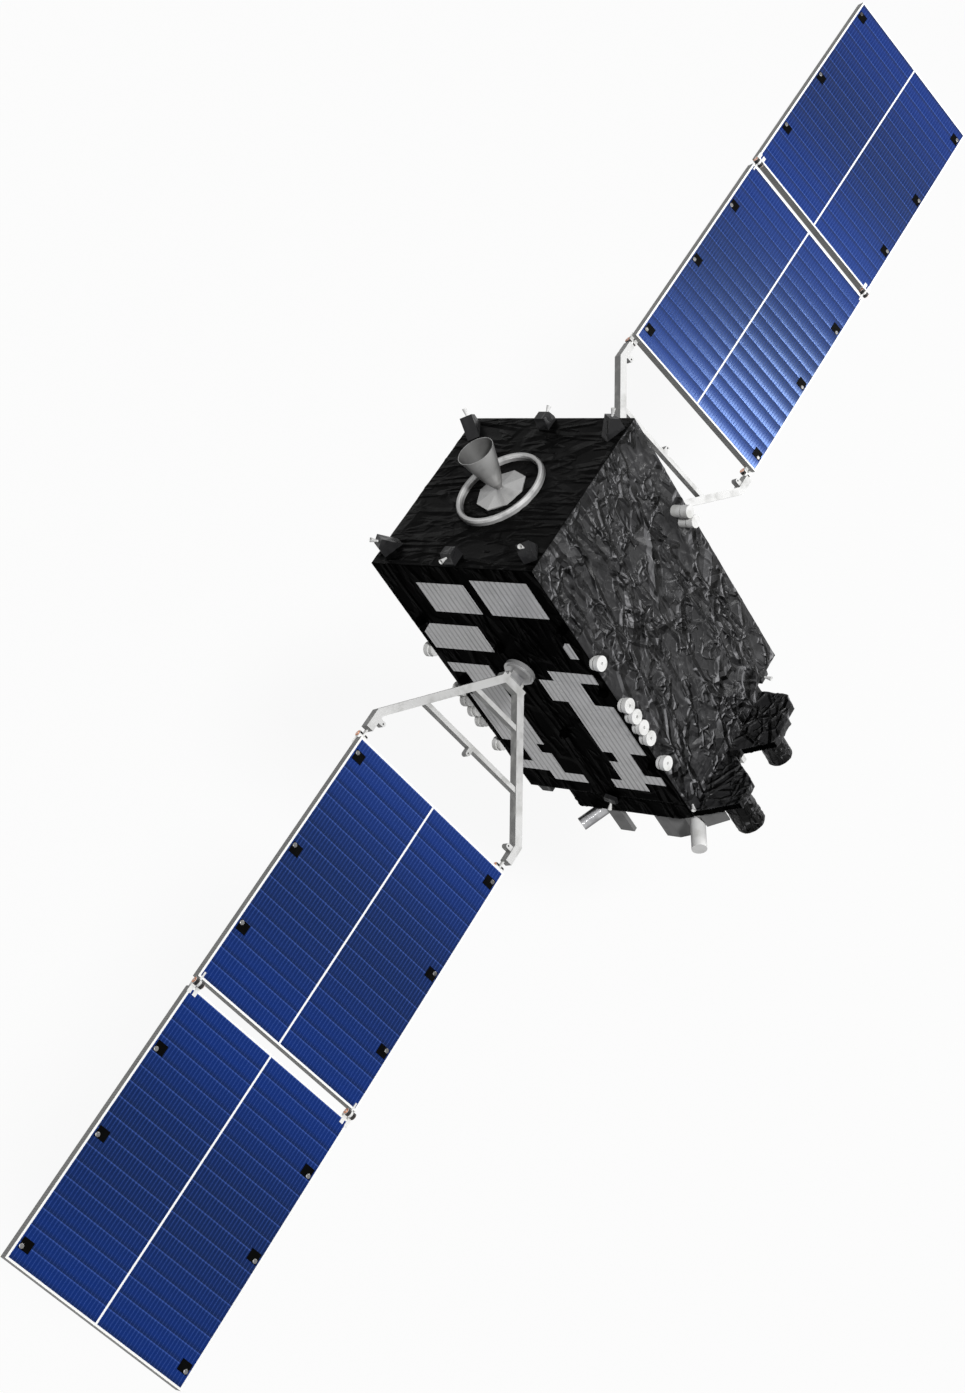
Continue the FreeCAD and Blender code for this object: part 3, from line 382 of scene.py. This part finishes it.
def radiatorFinish():  # mirror tiles in narrow strips up and down the side
    tiles = Finish("radiatorTiles",
                   {"Specular IOR Level": radiatorLook["gloss"], "Metallic": radiatorLook["metal"]})
    across, up = tiles.axes()[::2]
    strip = across / radiatorLook["pitch"]
    tone = tiles.node("ShaderNodeTexWhiteNoise", {"noise_dimensions": "1D"},
                      {"W": strip.maths("FLOOR", strip)}, "Value")
    line = tiles.band(abs(strip % 1 - 0.5), *radiatorLook["line"])
    joint = abs(up / radiatorLook["rows"] % 1 - 0.5) > radiatorLook["jointFrom"]
    smear = tiles.band(tiles.cloud(radiatorLook["smears"], 4.0), *radiatorLook["smeared"])
    tone = tone * radiatorLook["uneven"] + (1 - radiatorLook["uneven"])
    base = tiles.tint(line * tone, radiatorLook["tile"], radiatorLook["stripe"])
    base = tiles.tint(joint * radiatorLook["jointShare"], base, radiatorLook["joint"])
    tiles.feed("Base Color", tiles.tint(smear * radiatorLook["smearShare"], base, radiatorLook["stripe"]))
    dull = smear * radiatorLook["roughSmear"] + line * radiatorLook["roughLine"]
    tiles.feed("Roughness", dull + radiatorLook["rough"])
    tiles.relief(line, radiatorLook["deep"])
    return tiles.material


finishes["radiatorTiles"] = radiatorFinish()

# painted light on the cells: the paler ends, the pale stripes fading along each row and the dark joint band at
# each row's end are painted highlight and shade
cellLook = {
    "middle": rgb(0, 16, 62), "ends": rgb(0, 30, 98), "stripe": rgb(24, 54, 120), "joint": rgb(0, 4, 32),
    "line": rgb(64, 92, 168), "gap": rgb(84, 110, 184), "rows": 17, "strings": 27, "border": 0.023,
    "centre": 0.022, "gloss": 0.45, "glass": (0.24, 0.45, 1.0, 1), "inset": 0.0022, "proud": 0.0016,
    "lift": 0.001, "skirt": 0.003, "endsFrom": (0.04, 0.5), "endsLeast": 0.7, "uneven": 0.6,
    "palePart": (0.12, 0.42), "fall": (0.0, 0.9), "pale": 0.42, "paleFall": 0.22, "jointFrom": (0.62, 1.0),
    "jointShare": 0.7, "lineTo": (0.03, 0.09), "lineLeast": 0.3, "linePale": 0.4, "gapShare": 0.5,
    "rough": 0.20, "roughFall": 0.26, "roughPale": 0.05, "bow": 0.014,
}
cellLook["rowPitch"] = (innerHigh[0] - innerLow[0] - 2 * cellLook["border"]) / cellLook["rows"]
cellLook["stringPitch"] = (innerHigh[1] - cellLook["border"] - cellLook["centre"] / 2) / cellLook["strings"]


def wingPlace(finish):  # off, along and across a wing; both wings lie the same way about Y
    turn, root = wingAxes("far")
    angle = math.atan2(turn[2][2], turn[0][2])
    turned = Matrix.Rotation(angle, 3, "Y")
    mapped = finish.node("ShaderNodeMapping", {},
                         {"Vector": finish.place, "Rotation": (0, angle, 0),
                          "Location": tuple(-(turned @ root))})
    off, along, across = finish.axes(mapped)
    return off, abs(along), across


def cellFinish(name, gap):
    cells = Finish(name, {"Specular IOR Level": cellLook["gloss"], "Specular Tint": cellLook["glass"]})
    along, across = wingPlace(cells)[1:]
    start = innerLow[0] + cellLook["border"]
    step = outerLow[0] - innerLow[0]
    run = along - start - (along > (innerHigh[0] + outerLow[0]) / 2) * step
    row = run / cellLook["rowPitch"] % 1
    # painted highlight: cells paler towards both ends of each panel, unevenly
    ends = cells.band(abs(run / (innerHigh[0] - innerLow[0]) - 0.5), *cellLook["endsFrom"])
    string = (abs(across) - cellLook["centre"] / 2) / cellLook["stringPitch"]
    pale = cells.band(abs(string % 1 - 0.5), *cellLook["palePart"])
    # painted highlight along each row: its pale stripes fade along it; the same gradient makes it rougher
    fall = cells.band(row, *cellLook["fall"])
    ends = ends * (cellLook["endsLeast"] + cells.cloud(1.6, 2.0) * cellLook["uneven"])
    # painted shade: a soft darker band over the last part of each row
    joint = cells.band(row, *cellLook["jointFrom"]) * cellLook["jointShare"]
    line = cells.band(row, *cellLook["lineTo"], 1.0, 0.0)
    base = cells.tint(ends, cellLook["middle"], cellLook["ends"])
    base = cells.tint(pale * (cellLook["pale"] - fall * cellLook["paleFall"]), base, cellLook["stripe"])
    base = cells.tint(joint, base, cellLook["joint"])
    base = cells.tint(line * (pale * cellLook["linePale"] + cellLook["lineLeast"]), base, cellLook["line"])
    if gap:
        base = cells.tint(cellLook["gapShare"], base, cellLook["gap"])
    cells.feed("Base Color", base)
    cells.feed("Roughness", cellLook["rough"] + fall * cellLook["roughFall"] + pale * cellLook["roughPale"])
    cells.relief(row * (1 - row), cellLook["bow"])
    return cells.material


finishes["cells"] = cellFinish("solarCells", False)
finishes["cellGaps"] = cellFinish("cellGaps", True)

panelLook = {
    "frame": rgb(246, 246, 243), "edge": rgb(158, 158, 156), "back": rgb(44, 45, 48), "weave": rgb(66, 67, 70),
    "gloss": 0.3, "skin": 0.0005, "comb": 0.03, "combed": (0.1, 0.4), "combShare": 0.25, "combDeep": 0.3,
    "threads": 0.012, "threadShare": 0.6, "marks": 4.0, "marked": (0.45, 0.75), "edgeMarks": 0.2,
    "backMarks": 0.08, "rough": 0.55, "roughMarks": 0.03, "backSmoother": 0.12, "deep": 0.0006,
}


def panelFinish():  # white border on the cell side, grey edges, woven black back
    skin = Finish("panelSkin", {"Specular IOR Level": panelLook["gloss"]})
    off, along, across = wingPlace(skin)
    front = off > innerHigh[2] - panelLook["skin"]
    back = off < innerLow[2] + panelLook["skin"]
    comb = skin.band(abs((along + across) / panelLook["comb"] % 1 - 0.5), *panelLook["combed"])
    weave = abs(along / panelLook["threads"] % 1 - 0.5) + abs(across / panelLook["threads"] % 1 - 0.5)
    marks = skin.band(skin.cloud(panelLook["marks"], 5.0), *panelLook["marked"])
    edge = skin.tint(comb * panelLook["combShare"] + marks * panelLook["edgeMarks"],
                     panelLook["edge"], panelLook["weave"])
    rear = skin.tint(weave * panelLook["threadShare"] + marks * panelLook["backMarks"],
                     panelLook["back"], panelLook["weave"])
    shade = skin.tint(front, edge, panelLook["frame"])
    skin.feed("Base Color", skin.tint(back, shade, rear))
    dull = panelLook["rough"] - back * panelLook["backSmoother"]
    skin.feed("Roughness", dull + marks * panelLook["roughMarks"])
    skin.relief(weave * back + comb * (1 - back) * panelLook["combDeep"], panelLook["deep"])
    return skin.material


finishes["panelSkin"] = panelFinish()

nodeFinishes = {
    "blackFoil": ("bus_box", "payload_slab", "sensor_shelf"),
    "housingFoil": ("engine_deck_thruster_housings", "earth_deck_thruster_housings"),
    # painted shade: the panel brackets take the shaded side copy of the foil
    "shadedSideFoil": ("hold_down_brackets_near", "hold_down_brackets_far"),
    "baffleFoil": ("long_sensor_baffle", "short_sensor_baffle"),
    "ringMetal": ("launch_ring", "engine_mount"),
    "nozzleMetal": ("apogee_engine",),
    "whitePaint": ("engine_deck_thruster_nozzles", "earth_deck_thruster_nozzles", "side_pots_front",
                   "side_pots_back", "side_cans_front", "side_cans_back", "white_horn", "sun_sensor"),
    "radiatorTiles": ("radiators_near", "radiators_far"),
    "polishedMetal": ("horizon_sensor_tube",),
    "greyPaint": ("antenna_plate", "instrument_tower", "reflector_fin"),
    "driveMetal": ("near_drive_housing", "far_drive_housing", "near_drive_hub", "far_drive_hub"),
    "yokePaint": ("near_yoke", "far_yoke"),
    "panelSkin": tuple("%s_%s_panel" % (tag, part) for tag in wingTags for part in panelParts),
    "hingeMetal": tuple("%s_%s_hinges" % (tag, part) for tag in wingTags
                        for part in ("yoke", "inner_root", "inner_tip", "outer")),
}
for finish, names in nodeFinishes.items():
    for name in names:
        for place in nodes[name].material_slots:
            place.material = finishes[finish]
print("finishes:", len(finishes))


# ---- making pieces

def addPiece(name, shape, body, looks, smooth=True):
    mesh = bpy.data.meshes.new(name)
    shape.to_mesh(mesh)
    shape.free()
    for look in looks:
        mesh.materials.append(finishes[look])
    if smooth:
        mesh.shade_smooth()
    else:
        mesh.shade_flat()
    piece = bpy.data.objects.new(name, mesh)
    bpy.context.scene.collection.objects.link(piece)
    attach(piece, body)
    return piece


def closeBack(shape, press):  # draws a sheet's border back onto a plane and closes it
    rim = [edge for edge in shape.edges if edge.is_boundary]
    made = bmesh.ops.extrude_edge_only(shape, edges=rim)["geom"]
    for vert in made:
        if isinstance(vert, bmesh.types.BMVert):
            vert.co = press(vert.co)
    back = [edge for edge in made if isinstance(edge, bmesh.types.BMEdge) and edge.is_boundary]
    bmesh.ops.contextual_create(shape, geom=back)
    bmesh.ops.recalc_face_normals(shape, faces=shape.faces)


def soft(value):
    value = min(1.0, max(0.0, value))
    return value * value * (3 - 2 * value)


# ---- foil blankets

frontFolds = [  # cell size, height and half width of the folds, how many of them there are, all in metres
    {"cell": 0.46, "tall": 0.026, "half": 0.030, "share": 0.60},
    {"cell": 0.22, "tall": 0.016, "half": 0.019, "share": 0.55},
    {"cell": 0.11, "tall": 0.007, "half": 0.012, "share": 0.45},
]
deckFolds = [
    {"cell": 0.26, "tall": 0.005, "half": 0.016, "share": 0.45},
    {"cell": 0.12, "tall": 0.003, "half": 0.010, "share": 0.50},
]
sideFolds = [
    {"cell": 0.30, "tall": 0.0014, "half": 0.020, "share": 0.4},
    {"cell": 0.12, "tall": 0.0009, "half": 0.012, "share": 0.4},
]
blankets = {  # outward direction, the way up its sheet, mesh step, folds, how they stretch, rest height
    "foil_front": {"outward": (1, 0, 0), "along": (0, 0, 1), "step": 0.010, "folds": frontFolds,
                   "stretch": (1, 1, 0.8), "rest": 0.003, "sway": 0.006, "look": "blackFoil"},
    "foil_back": {"outward": (-1, 0, 0), "along": (0, 0, 1), "step": 0.014, "folds": frontFolds,
                  "stretch": (1, 1, 0.8), "rest": 0.003, "sway": 0.006, "look": "blackFoil"},
    "foil_engine_deck": {"outward": (0, 0, 1), "along": (0, 1, 0), "step": 0.012, "folds": deckFolds,
                         "stretch": (0.4, 1, 1), "rest": 0.002, "sway": 0.004, "look": "shadedDeckFoil"},
    "foil_earth_deck": {"outward": (0, 0, -1), "along": (0, 1, 0), "step": 0.020, "folds": deckFolds,
                        "stretch": (1, 1, 1), "rest": 0.002, "sway": 0.004, "look": "blackFoil"},
    "foil_near_side": {"outward": (0, -1, 0), "along": (0, 0, 1), "step": 0.016, "folds": sideFolds,
                       "stretch": (1, 1, 0.6), "rest": 0.001, "sway": 0.001, "look": "shadedSideFoil"},
    "foil_far_side": {"outward": (0, 1, 0), "along": (0, 0, 1), "step": 0.016, "folds": sideFolds,
                      "stretch": (1, 1, 0.6), "rest": 0.001, "sway": 0.001, "look": "shadedSideFoil"},
}


foldWander = {  # how folds bend and where they stop; without the seed they would differ each time
    "seed": 7, "cells": 0.9, "share": 0.24, "gapCells": 1.4, "gaps": 1.5,
}
noise.seed_set(foldWander["seed"])


def crumple(spot, folds, stretch):  # height of folded foil over a point
    drawn = Vector([part * pull for part, pull in zip(spot, stretch)])
    height = 0.0
    for fold in folds:
        cell = fold["cell"]
        bend = noise.noise_vector(drawn / (cell * foldWander["cells"]))
        moved = drawn + bend * cell * foldWander["share"]
        near, second = noise.voronoi(moved / cell)[0][:2]
        away = (second - near) * cell / 2
        gaps = noise.noise(drawn / (cell * foldWander["gapCells"]) + Vector((7, 3, cell * 40)))
        lasting = soft(fold["share"] + foldWander["gaps"] * gaps)
        height += fold["tall"] * lasting * max(0.0, 1 - away / fold["half"])
    return height


blanketEdge = {"flat": 0.05, "least": 0.25, "swayCell": 0.4, "sunk": 0.004}  # how a border lies and closes


def foilBlanket(name, look):
    low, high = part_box("bus_box")
    middle, half = (low + high) / 2, (high - low) / 2
    outward, along = Vector(look["outward"]), Vector(look["along"])
    across = along.cross(outward)
    wide, tall, deep = (abs(way.dot(half)) for way in (across, along, outward))
    face = middle + outward * deep
    sheet = bmesh.new()
    bmesh.ops.create_grid(sheet, x_segments=round(2 * wide / look["step"]),
                          y_segments=round(2 * tall / look["step"]), size=1)
    for vert in sheet.verts:
        x, y = vert.co.x * wide, vert.co.y * tall
        spot = face + across * x + along * y
        inside = soft(min(wide - abs(x), tall - abs(y)) / blanketEdge["flat"])
        least = blanketEdge["least"]
        rise = crumple(spot, look["folds"], look["stretch"]) * (least + (1 - least) * inside)
        rise += look["sway"] * (0.5 + 0.5 * noise.noise(spot / blanketEdge["swayCell"])) * inside
        vert.co = spot + outward * (look["rest"] + rise)
    closeBack(sheet, lambda co: co - outward * (outward.dot(co - face) + blanketEdge["sunk"]))
    return addPiece(name, sheet, "bus", [look["look"]])


for name, look in blankets.items():
    foilBlanket(name, look)
print("foil blankets:", len(blankets))

wraps = {  # nodes that get a crumpled foil skin of their own
    "payload_slab": {"name": "foil_slab", "voxel": 0.014, "press": 0.003, "crumple": 0.5, "sides": 0.8},
    "sensor_shelf": {"name": "foil_shelf", "voxel": 0.011, "press": 0.005, "crumple": 0.6, "sides": 0.8},
}


def wrapNode(node, look):
    shape = bmesh.new()
    shape.from_mesh(nodes[node].data)
    bmesh.ops.remove_doubles(shape, verts=shape.verts, dist=0.00001)
    mesh = bpy.data.meshes.new(look["name"] + "Start")
    shape.to_mesh(mesh)
    shape.free()
    block = bpy.data.objects.new(look["name"] + "Start", mesh)
    bpy.context.scene.collection.objects.link(block)
    remesh = block.modifiers.new("remesh", "REMESH")
    remesh.mode = "VOXEL"
    remesh.voxel_size = look["voxel"]
    dense = bpy.data.meshes.new_from_object(block.evaluated_get(bpy.context.evaluated_depsgraph_get()))
    bpy.data.objects.remove(block)
    skin = bmesh.new()
    skin.from_mesh(dense)
    skin.normal_update()
    rises = [crumple(vert.co, frontFolds[1:], (1, 1, 1)) * look["crumple"] - look["press"]
             for vert in skin.verts]
    outs = [vert.normal.copy() for vert in skin.verts]
    for vert, rise, out in zip(skin.verts, rises, outs):
        vert.co += out * rise
    # painted shade: faces that face along Y take the shaded side copy of the foil
    for face in skin.faces:
        face.material_index = int(abs(face.normal.y) > look["sides"])
    piece = addPiece(look["name"], skin, "bus", ["blackFoil", "shadedSideFoil"])
    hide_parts(node)


for node, look in wraps.items():
    wrapNode(node, look)
print("foil skins:", len(wraps))

baffles = {
    "inset": 0.003, "wall": 0.005, "floor": 0.060, "round": 72, "step": 0.012, "crumple": 0.5, "press": 0.002,
}


def baffle(node):  # an open foil-covered cup that looks down
    low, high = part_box(node)
    middle = (low + high) / 2
    radius = (high.x - low.x) / 2 - baffles["inset"]
    inner = radius - baffles["wall"]
    count = round((high.z - low.z) / baffles["step"])
    heights = [low.z + (high.z - low.z) * step / count for step in range(count + 1)]
    ceiling = high.z - baffles["floor"]
    line = [(0.0, high.z)] + [(radius, z) for z in reversed(heights)]
    line += [(inner, z) for z in heights if z < ceiling - 0.004] + [(inner, ceiling), (0.0, ceiling)]
    cup = bmesh.new()
    verts = [cup.verts.new((middle.x + x, middle.y, z)) for x, z in line]
    edges = [cup.edges.new(pair) for pair in zip(verts, verts[1:])]
    bmesh.ops.spin(cup, geom=verts + edges, cent=middle, axis=(0, 0, 1), angle=math.tau,
                   steps=baffles["round"], use_merge=True, use_duplicate=False)
    bmesh.ops.remove_doubles(cup, verts=cup.verts, dist=0.0001)
    bmesh.ops.recalc_face_normals(cup, faces=cup.faces)
    for vert in cup.verts:
        away = Vector((vert.co.x - middle.x, vert.co.y - middle.y, 0))
        if away.length > inner + 0.001 and vert.co.z < high.z - 0.001:
            rise = crumple(vert.co, frontFolds[1:], (1, 1, 1.6)) * baffles["crumple"] - baffles["press"]
            vert.co += away.normalized() * rise
    piece = addPiece(node + "_foil", cup, "bus", ["baffleFoil"])
    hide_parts(node)


for node in nodeFinishes["baffleFoil"]:
    baffle(node)
print("baffles")


# ---- solar cells

def cellField(tag, part):
    low, high = localBox(tag, "%s_%s_panel" % (tag, part))
    border, centre = cellLook["border"], cellLook["centre"] / 2
    length = high[0] - low[0] - 2 * border
    width = high[1] - border - centre
    field = bmesh.new()
    for side in (-1, 1):
        half = bmesh.ops.create_grid(field, x_segments=cellLook["rows"], y_segments=cellLook["strings"],
                                     size=0.5)
        bmesh.ops.scale(field, vec=(length, width, 1), verts=half["verts"])
        middle = ((low[0] + high[0]) / 2, side * (centre + width / 2), high[2] + cellLook["lift"])
        bmesh.ops.translate(field, vec=middle, verts=half["verts"])
    ring = bmesh.ops.inset_individual(field, faces=field.faces, thickness=cellLook["inset"],
                                      depth=cellLook["proud"])["faces"]
    for face in ring:
        face.material_index = 1
    rims = [edge for edge in field.edges if edge.is_boundary]
    skirt = bmesh.ops.extrude_edge_only(field, edges=rims)["geom"]
    feet = [vert for vert in skirt if isinstance(vert, bmesh.types.BMVert)]
    bmesh.ops.translate(field, vec=(0, 0, -cellLook["skirt"]), verts=feet)
    bottoms = [edge for edge in skirt if isinstance(edge, bmesh.types.BMEdge) and edge.is_boundary]
    for side in (-1, 1):
        bmesh.ops.contextual_create(field, geom=[e for e in bottoms if e.verts[0].co.y * side > 0])
    bmesh.ops.recalc_face_normals(field, faces=field.faces)
    bmesh.ops.transform(field, matrix=wingMatrix(tag), verts=field.verts)
    return addPiece("%s_%s_cells" % (tag, part), field, "%s_%s_wing" % (tag, part),
                    ["cells", "cellGaps"], smooth=False)


for tag in wingTags:
    for part in panelParts:
        cellField(tag, part)
print("solar cells: 4 panels of", 2 * cellLook["rows"] * cellLook["strings"])

holdDowns = {  # places along a panel from its hinge line and across it, the patches' size and their knobs'
    "places": (0.252, 1.491, 2.488), "across": 1.040, "long": 0.120, "wide": 0.128, "thick": 0.008,
    "lift": 0.0006, "knob": 0.026, "taper": 0.7, "tall": 0.003, "shift": (0.030, 0.036, 0.0078),
}


def holdDownPatches(tag, part):
    turn = wingMatrix(tag)
    low, high = localBox(tag, "%s_%s_panel" % (tag, part))
    tip = (innerHigh[0] + outerLow[0]) / 2
    hinge = (turn.inverted() @ Vector(joints[tag + "_yoke_panel_hinge"]["pos_m"])).x
    towardsTip = 1 if part == "outer" else -1
    patches = bmesh.new()
    for place in holdDowns["places"]:
        along = hinge + place if part == "inner" else 2 * tip - hinge - place
        for side in (-1, 1):
            spot = Vector((along, side * holdDowns["across"], high[2]))
            plate = bmesh.ops.create_cube(patches, size=1)["verts"]
            size = (holdDowns["long"], holdDowns["wide"], holdDowns["thick"])
            bmesh.ops.scale(patches, vec=size, verts=plate)
            lift = Vector((0, 0, holdDowns["lift"] + cellLook["proud"]))
            bmesh.ops.translate(patches, vec=spot + lift, verts=plate)
            knob = bmesh.ops.create_cone(patches, cap_ends=True, segments=12, radius1=holdDowns["knob"],
                                         radius2=holdDowns["knob"] * holdDowns["taper"],
                                         depth=holdDowns["tall"])["verts"]
            forth, out, up = holdDowns["shift"]
            aside = Vector((towardsTip * forth, side * out, up))
            bmesh.ops.translate(patches, vec=spot + aside, verts=knob)
            for vert in knob:
                for face in vert.link_faces:
                    face.material_index = 1
    bmesh.ops.transform(patches, matrix=turn, verts=patches.verts)
    return addPiece("%s_%s_hold_downs" % (tag, part), patches, "%s_%s_wing" % (tag, part),
                    ["patchBlack", "knobMetal"], smooth=False)


for tag in wingTags:
    for part in panelParts:
        holdDownPatches(tag, part)
print("hold-down patches")

sleeves = {  # the hinges' place across a wing, then each part's place beside them, radius, length and finish
    "edge": 1.100, "parts": ((0.034, 0.0395, 0.040, 0), (0.0585, 0.032, 0.005, 1)), "round": 0.0015,
}


def hingeSleeves(jointName):  # dark springs wound round the barrels, with copper washers at their ends
    joint = joints[jointName]
    tag = jointName.split("_")[0]
    turn = wingMatrix(tag)
    place = turn.inverted() @ Vector(joint["pos_m"])
    lie = Matrix.Rotation(math.pi / 2, 4, "X")
    parts = bmesh.new()
    for edge in (-1, 1):
        for end in (-1, 1):
            for away, radius, long, look in sleeves["parts"]:
                rod = bmesh.ops.create_cone(parts, cap_ends=True, segments=28, radius1=radius, radius2=radius,
                                            depth=long)["verts"]
                faces = {face for vert in rod for face in vert.link_faces}
                rims = list({edge for face in faces if len(face.verts) > 4 for edge in face.edges})
                for face in faces:
                    face.material_index = look
                across = edge * sleeves["edge"] + end * away
                bmesh.ops.transform(parts, matrix=Matrix.Translation((place.x, across, place.z)) @ lie,
                                    verts=rod)
                bmesh.ops.bevel(parts, geom=rims, offset=sleeves["round"], segments=2, profile=0.5,
                                affect="EDGES", material=-1)
    bmesh.ops.transform(parts, matrix=turn, verts=parts.verts)
    return addPiece(jointName + "_sleeves", parts, joint["child"],
                    ["barrelMetal", "copperMetal"], smooth=False)


for tag in wingTags:
    hingeSleeves(tag + "_yoke_panel_hinge")
    hingeSleeves(tag + "_panel_panel_hinge")
print("hinge sleeves")

# ---- camera, lamps and floor

view = {"place": (17.4205, -13.2754, 13.4989), "turn": (47.2582, 26.5676, 31.8770), "lens": 61.114,
        "shiftX": -0.07256, "shiftY": 0.01274}


def addCamera():
    data = bpy.data.cameras.new("camera")
    data.lens, data.sensor_width = view["lens"], 36
    data.shift_x, data.shift_y = view["shiftX"], view["shiftY"]
    data.clip_end = 1000
    camera = bpy.data.objects.new("camera", data)
    camera.location = view["place"]
    camera.rotation_euler = [math.radians(angle) for angle in view["turn"]]
    bpy.context.scene.collection.objects.link(camera)
    bpy.context.scene.camera = camera


lamps = {
    "sunFrom": (24.0, -6.0, 16.8), "sunPower": 2.7, "sunSoft": 9, "sky": 0.10,
    "glintPlace": (13.4, 11.2, -5.4), "glintAim": (0, 3.8, -2.0), "glintSize": 3.6, "glintPower": 1300,
}


def addLamp(name, kind, place, aim, power):
    data = bpy.data.lights.new(name, kind)
    data.energy = power
    lamp = bpy.data.objects.new(name, data)
    lamp.location = place
    lamp.rotation_euler = (Vector(aim) - Vector(place)).to_track_quat("-Z", "Y").to_euler()
    lamp.visible_camera = False
    bpy.context.scene.collection.objects.link(lamp)
    return data


addCamera()
sun = addLamp("sun", "SUN", lamps["sunFrom"], (0, 0, 0), lamps["sunPower"])
sun.angle = math.radians(lamps["sunSoft"])
glint = addLamp("glint", "AREA", lamps["glintPlace"], lamps["glintAim"], lamps["glintPower"])
glint.size = lamps["glintSize"]


def addSky():
    world = bpy.data.worlds.new("studio")
    bpy.context.scene.world = world
    world.use_nodes = True
    sky = Shading(world.node_tree)
    dim = sky.tree.nodes["Background"]
    dim.inputs["Strength"].default_value = lamps["sky"]
    dim.inputs["Color"].default_value = (1, 1, 1, 1)
    white = sky.node("ShaderNodeBackground", {}, {"Color": (1, 1, 1, 1)})
    sky.show("World Output", sky.seenDirectly(), dim, white)


floorLook = {
    "below": 3.2, "size": 300, "colour": (0.5, 0.5, 0.5, 1), "rough": 0.9, "gloss": 0.1, "paper": 0.86,
    "white": 1.08,
}


def addFloor():
    ground = bmesh.new()
    bmesh.ops.create_grid(ground, x_segments=1, y_segments=1, size=floorLook["size"])
    bmesh.ops.translate(ground, vec=(0, 0, cadBox[0][2] - floorLook["below"]), verts=ground.verts)
    mesh = bpy.data.meshes.new("floor")
    ground.to_mesh(mesh)
    ground.free()
    floor = bpy.data.objects.new("floor", mesh)
    bpy.context.scene.collection.objects.link(floor)
    paper = Finish("floorPaper", {"Base Color": floorLook["colour"], "Roughness": floorLook["rough"],
                                  "Specular IOR Level": floorLook["gloss"]})
    white = paper.node("ShaderNodeEmission", {}, {"Strength": floorLook["white"]})
    paper.show("Material Output", paper.seenDirectly() * floorLook["paper"], paper.shader, white)
    mesh.materials.append(paper.material)


addSky()
addFloor()
bpy.context.scene.view_settings.view_transform = "Standard"
print("camera, lamps and floor")
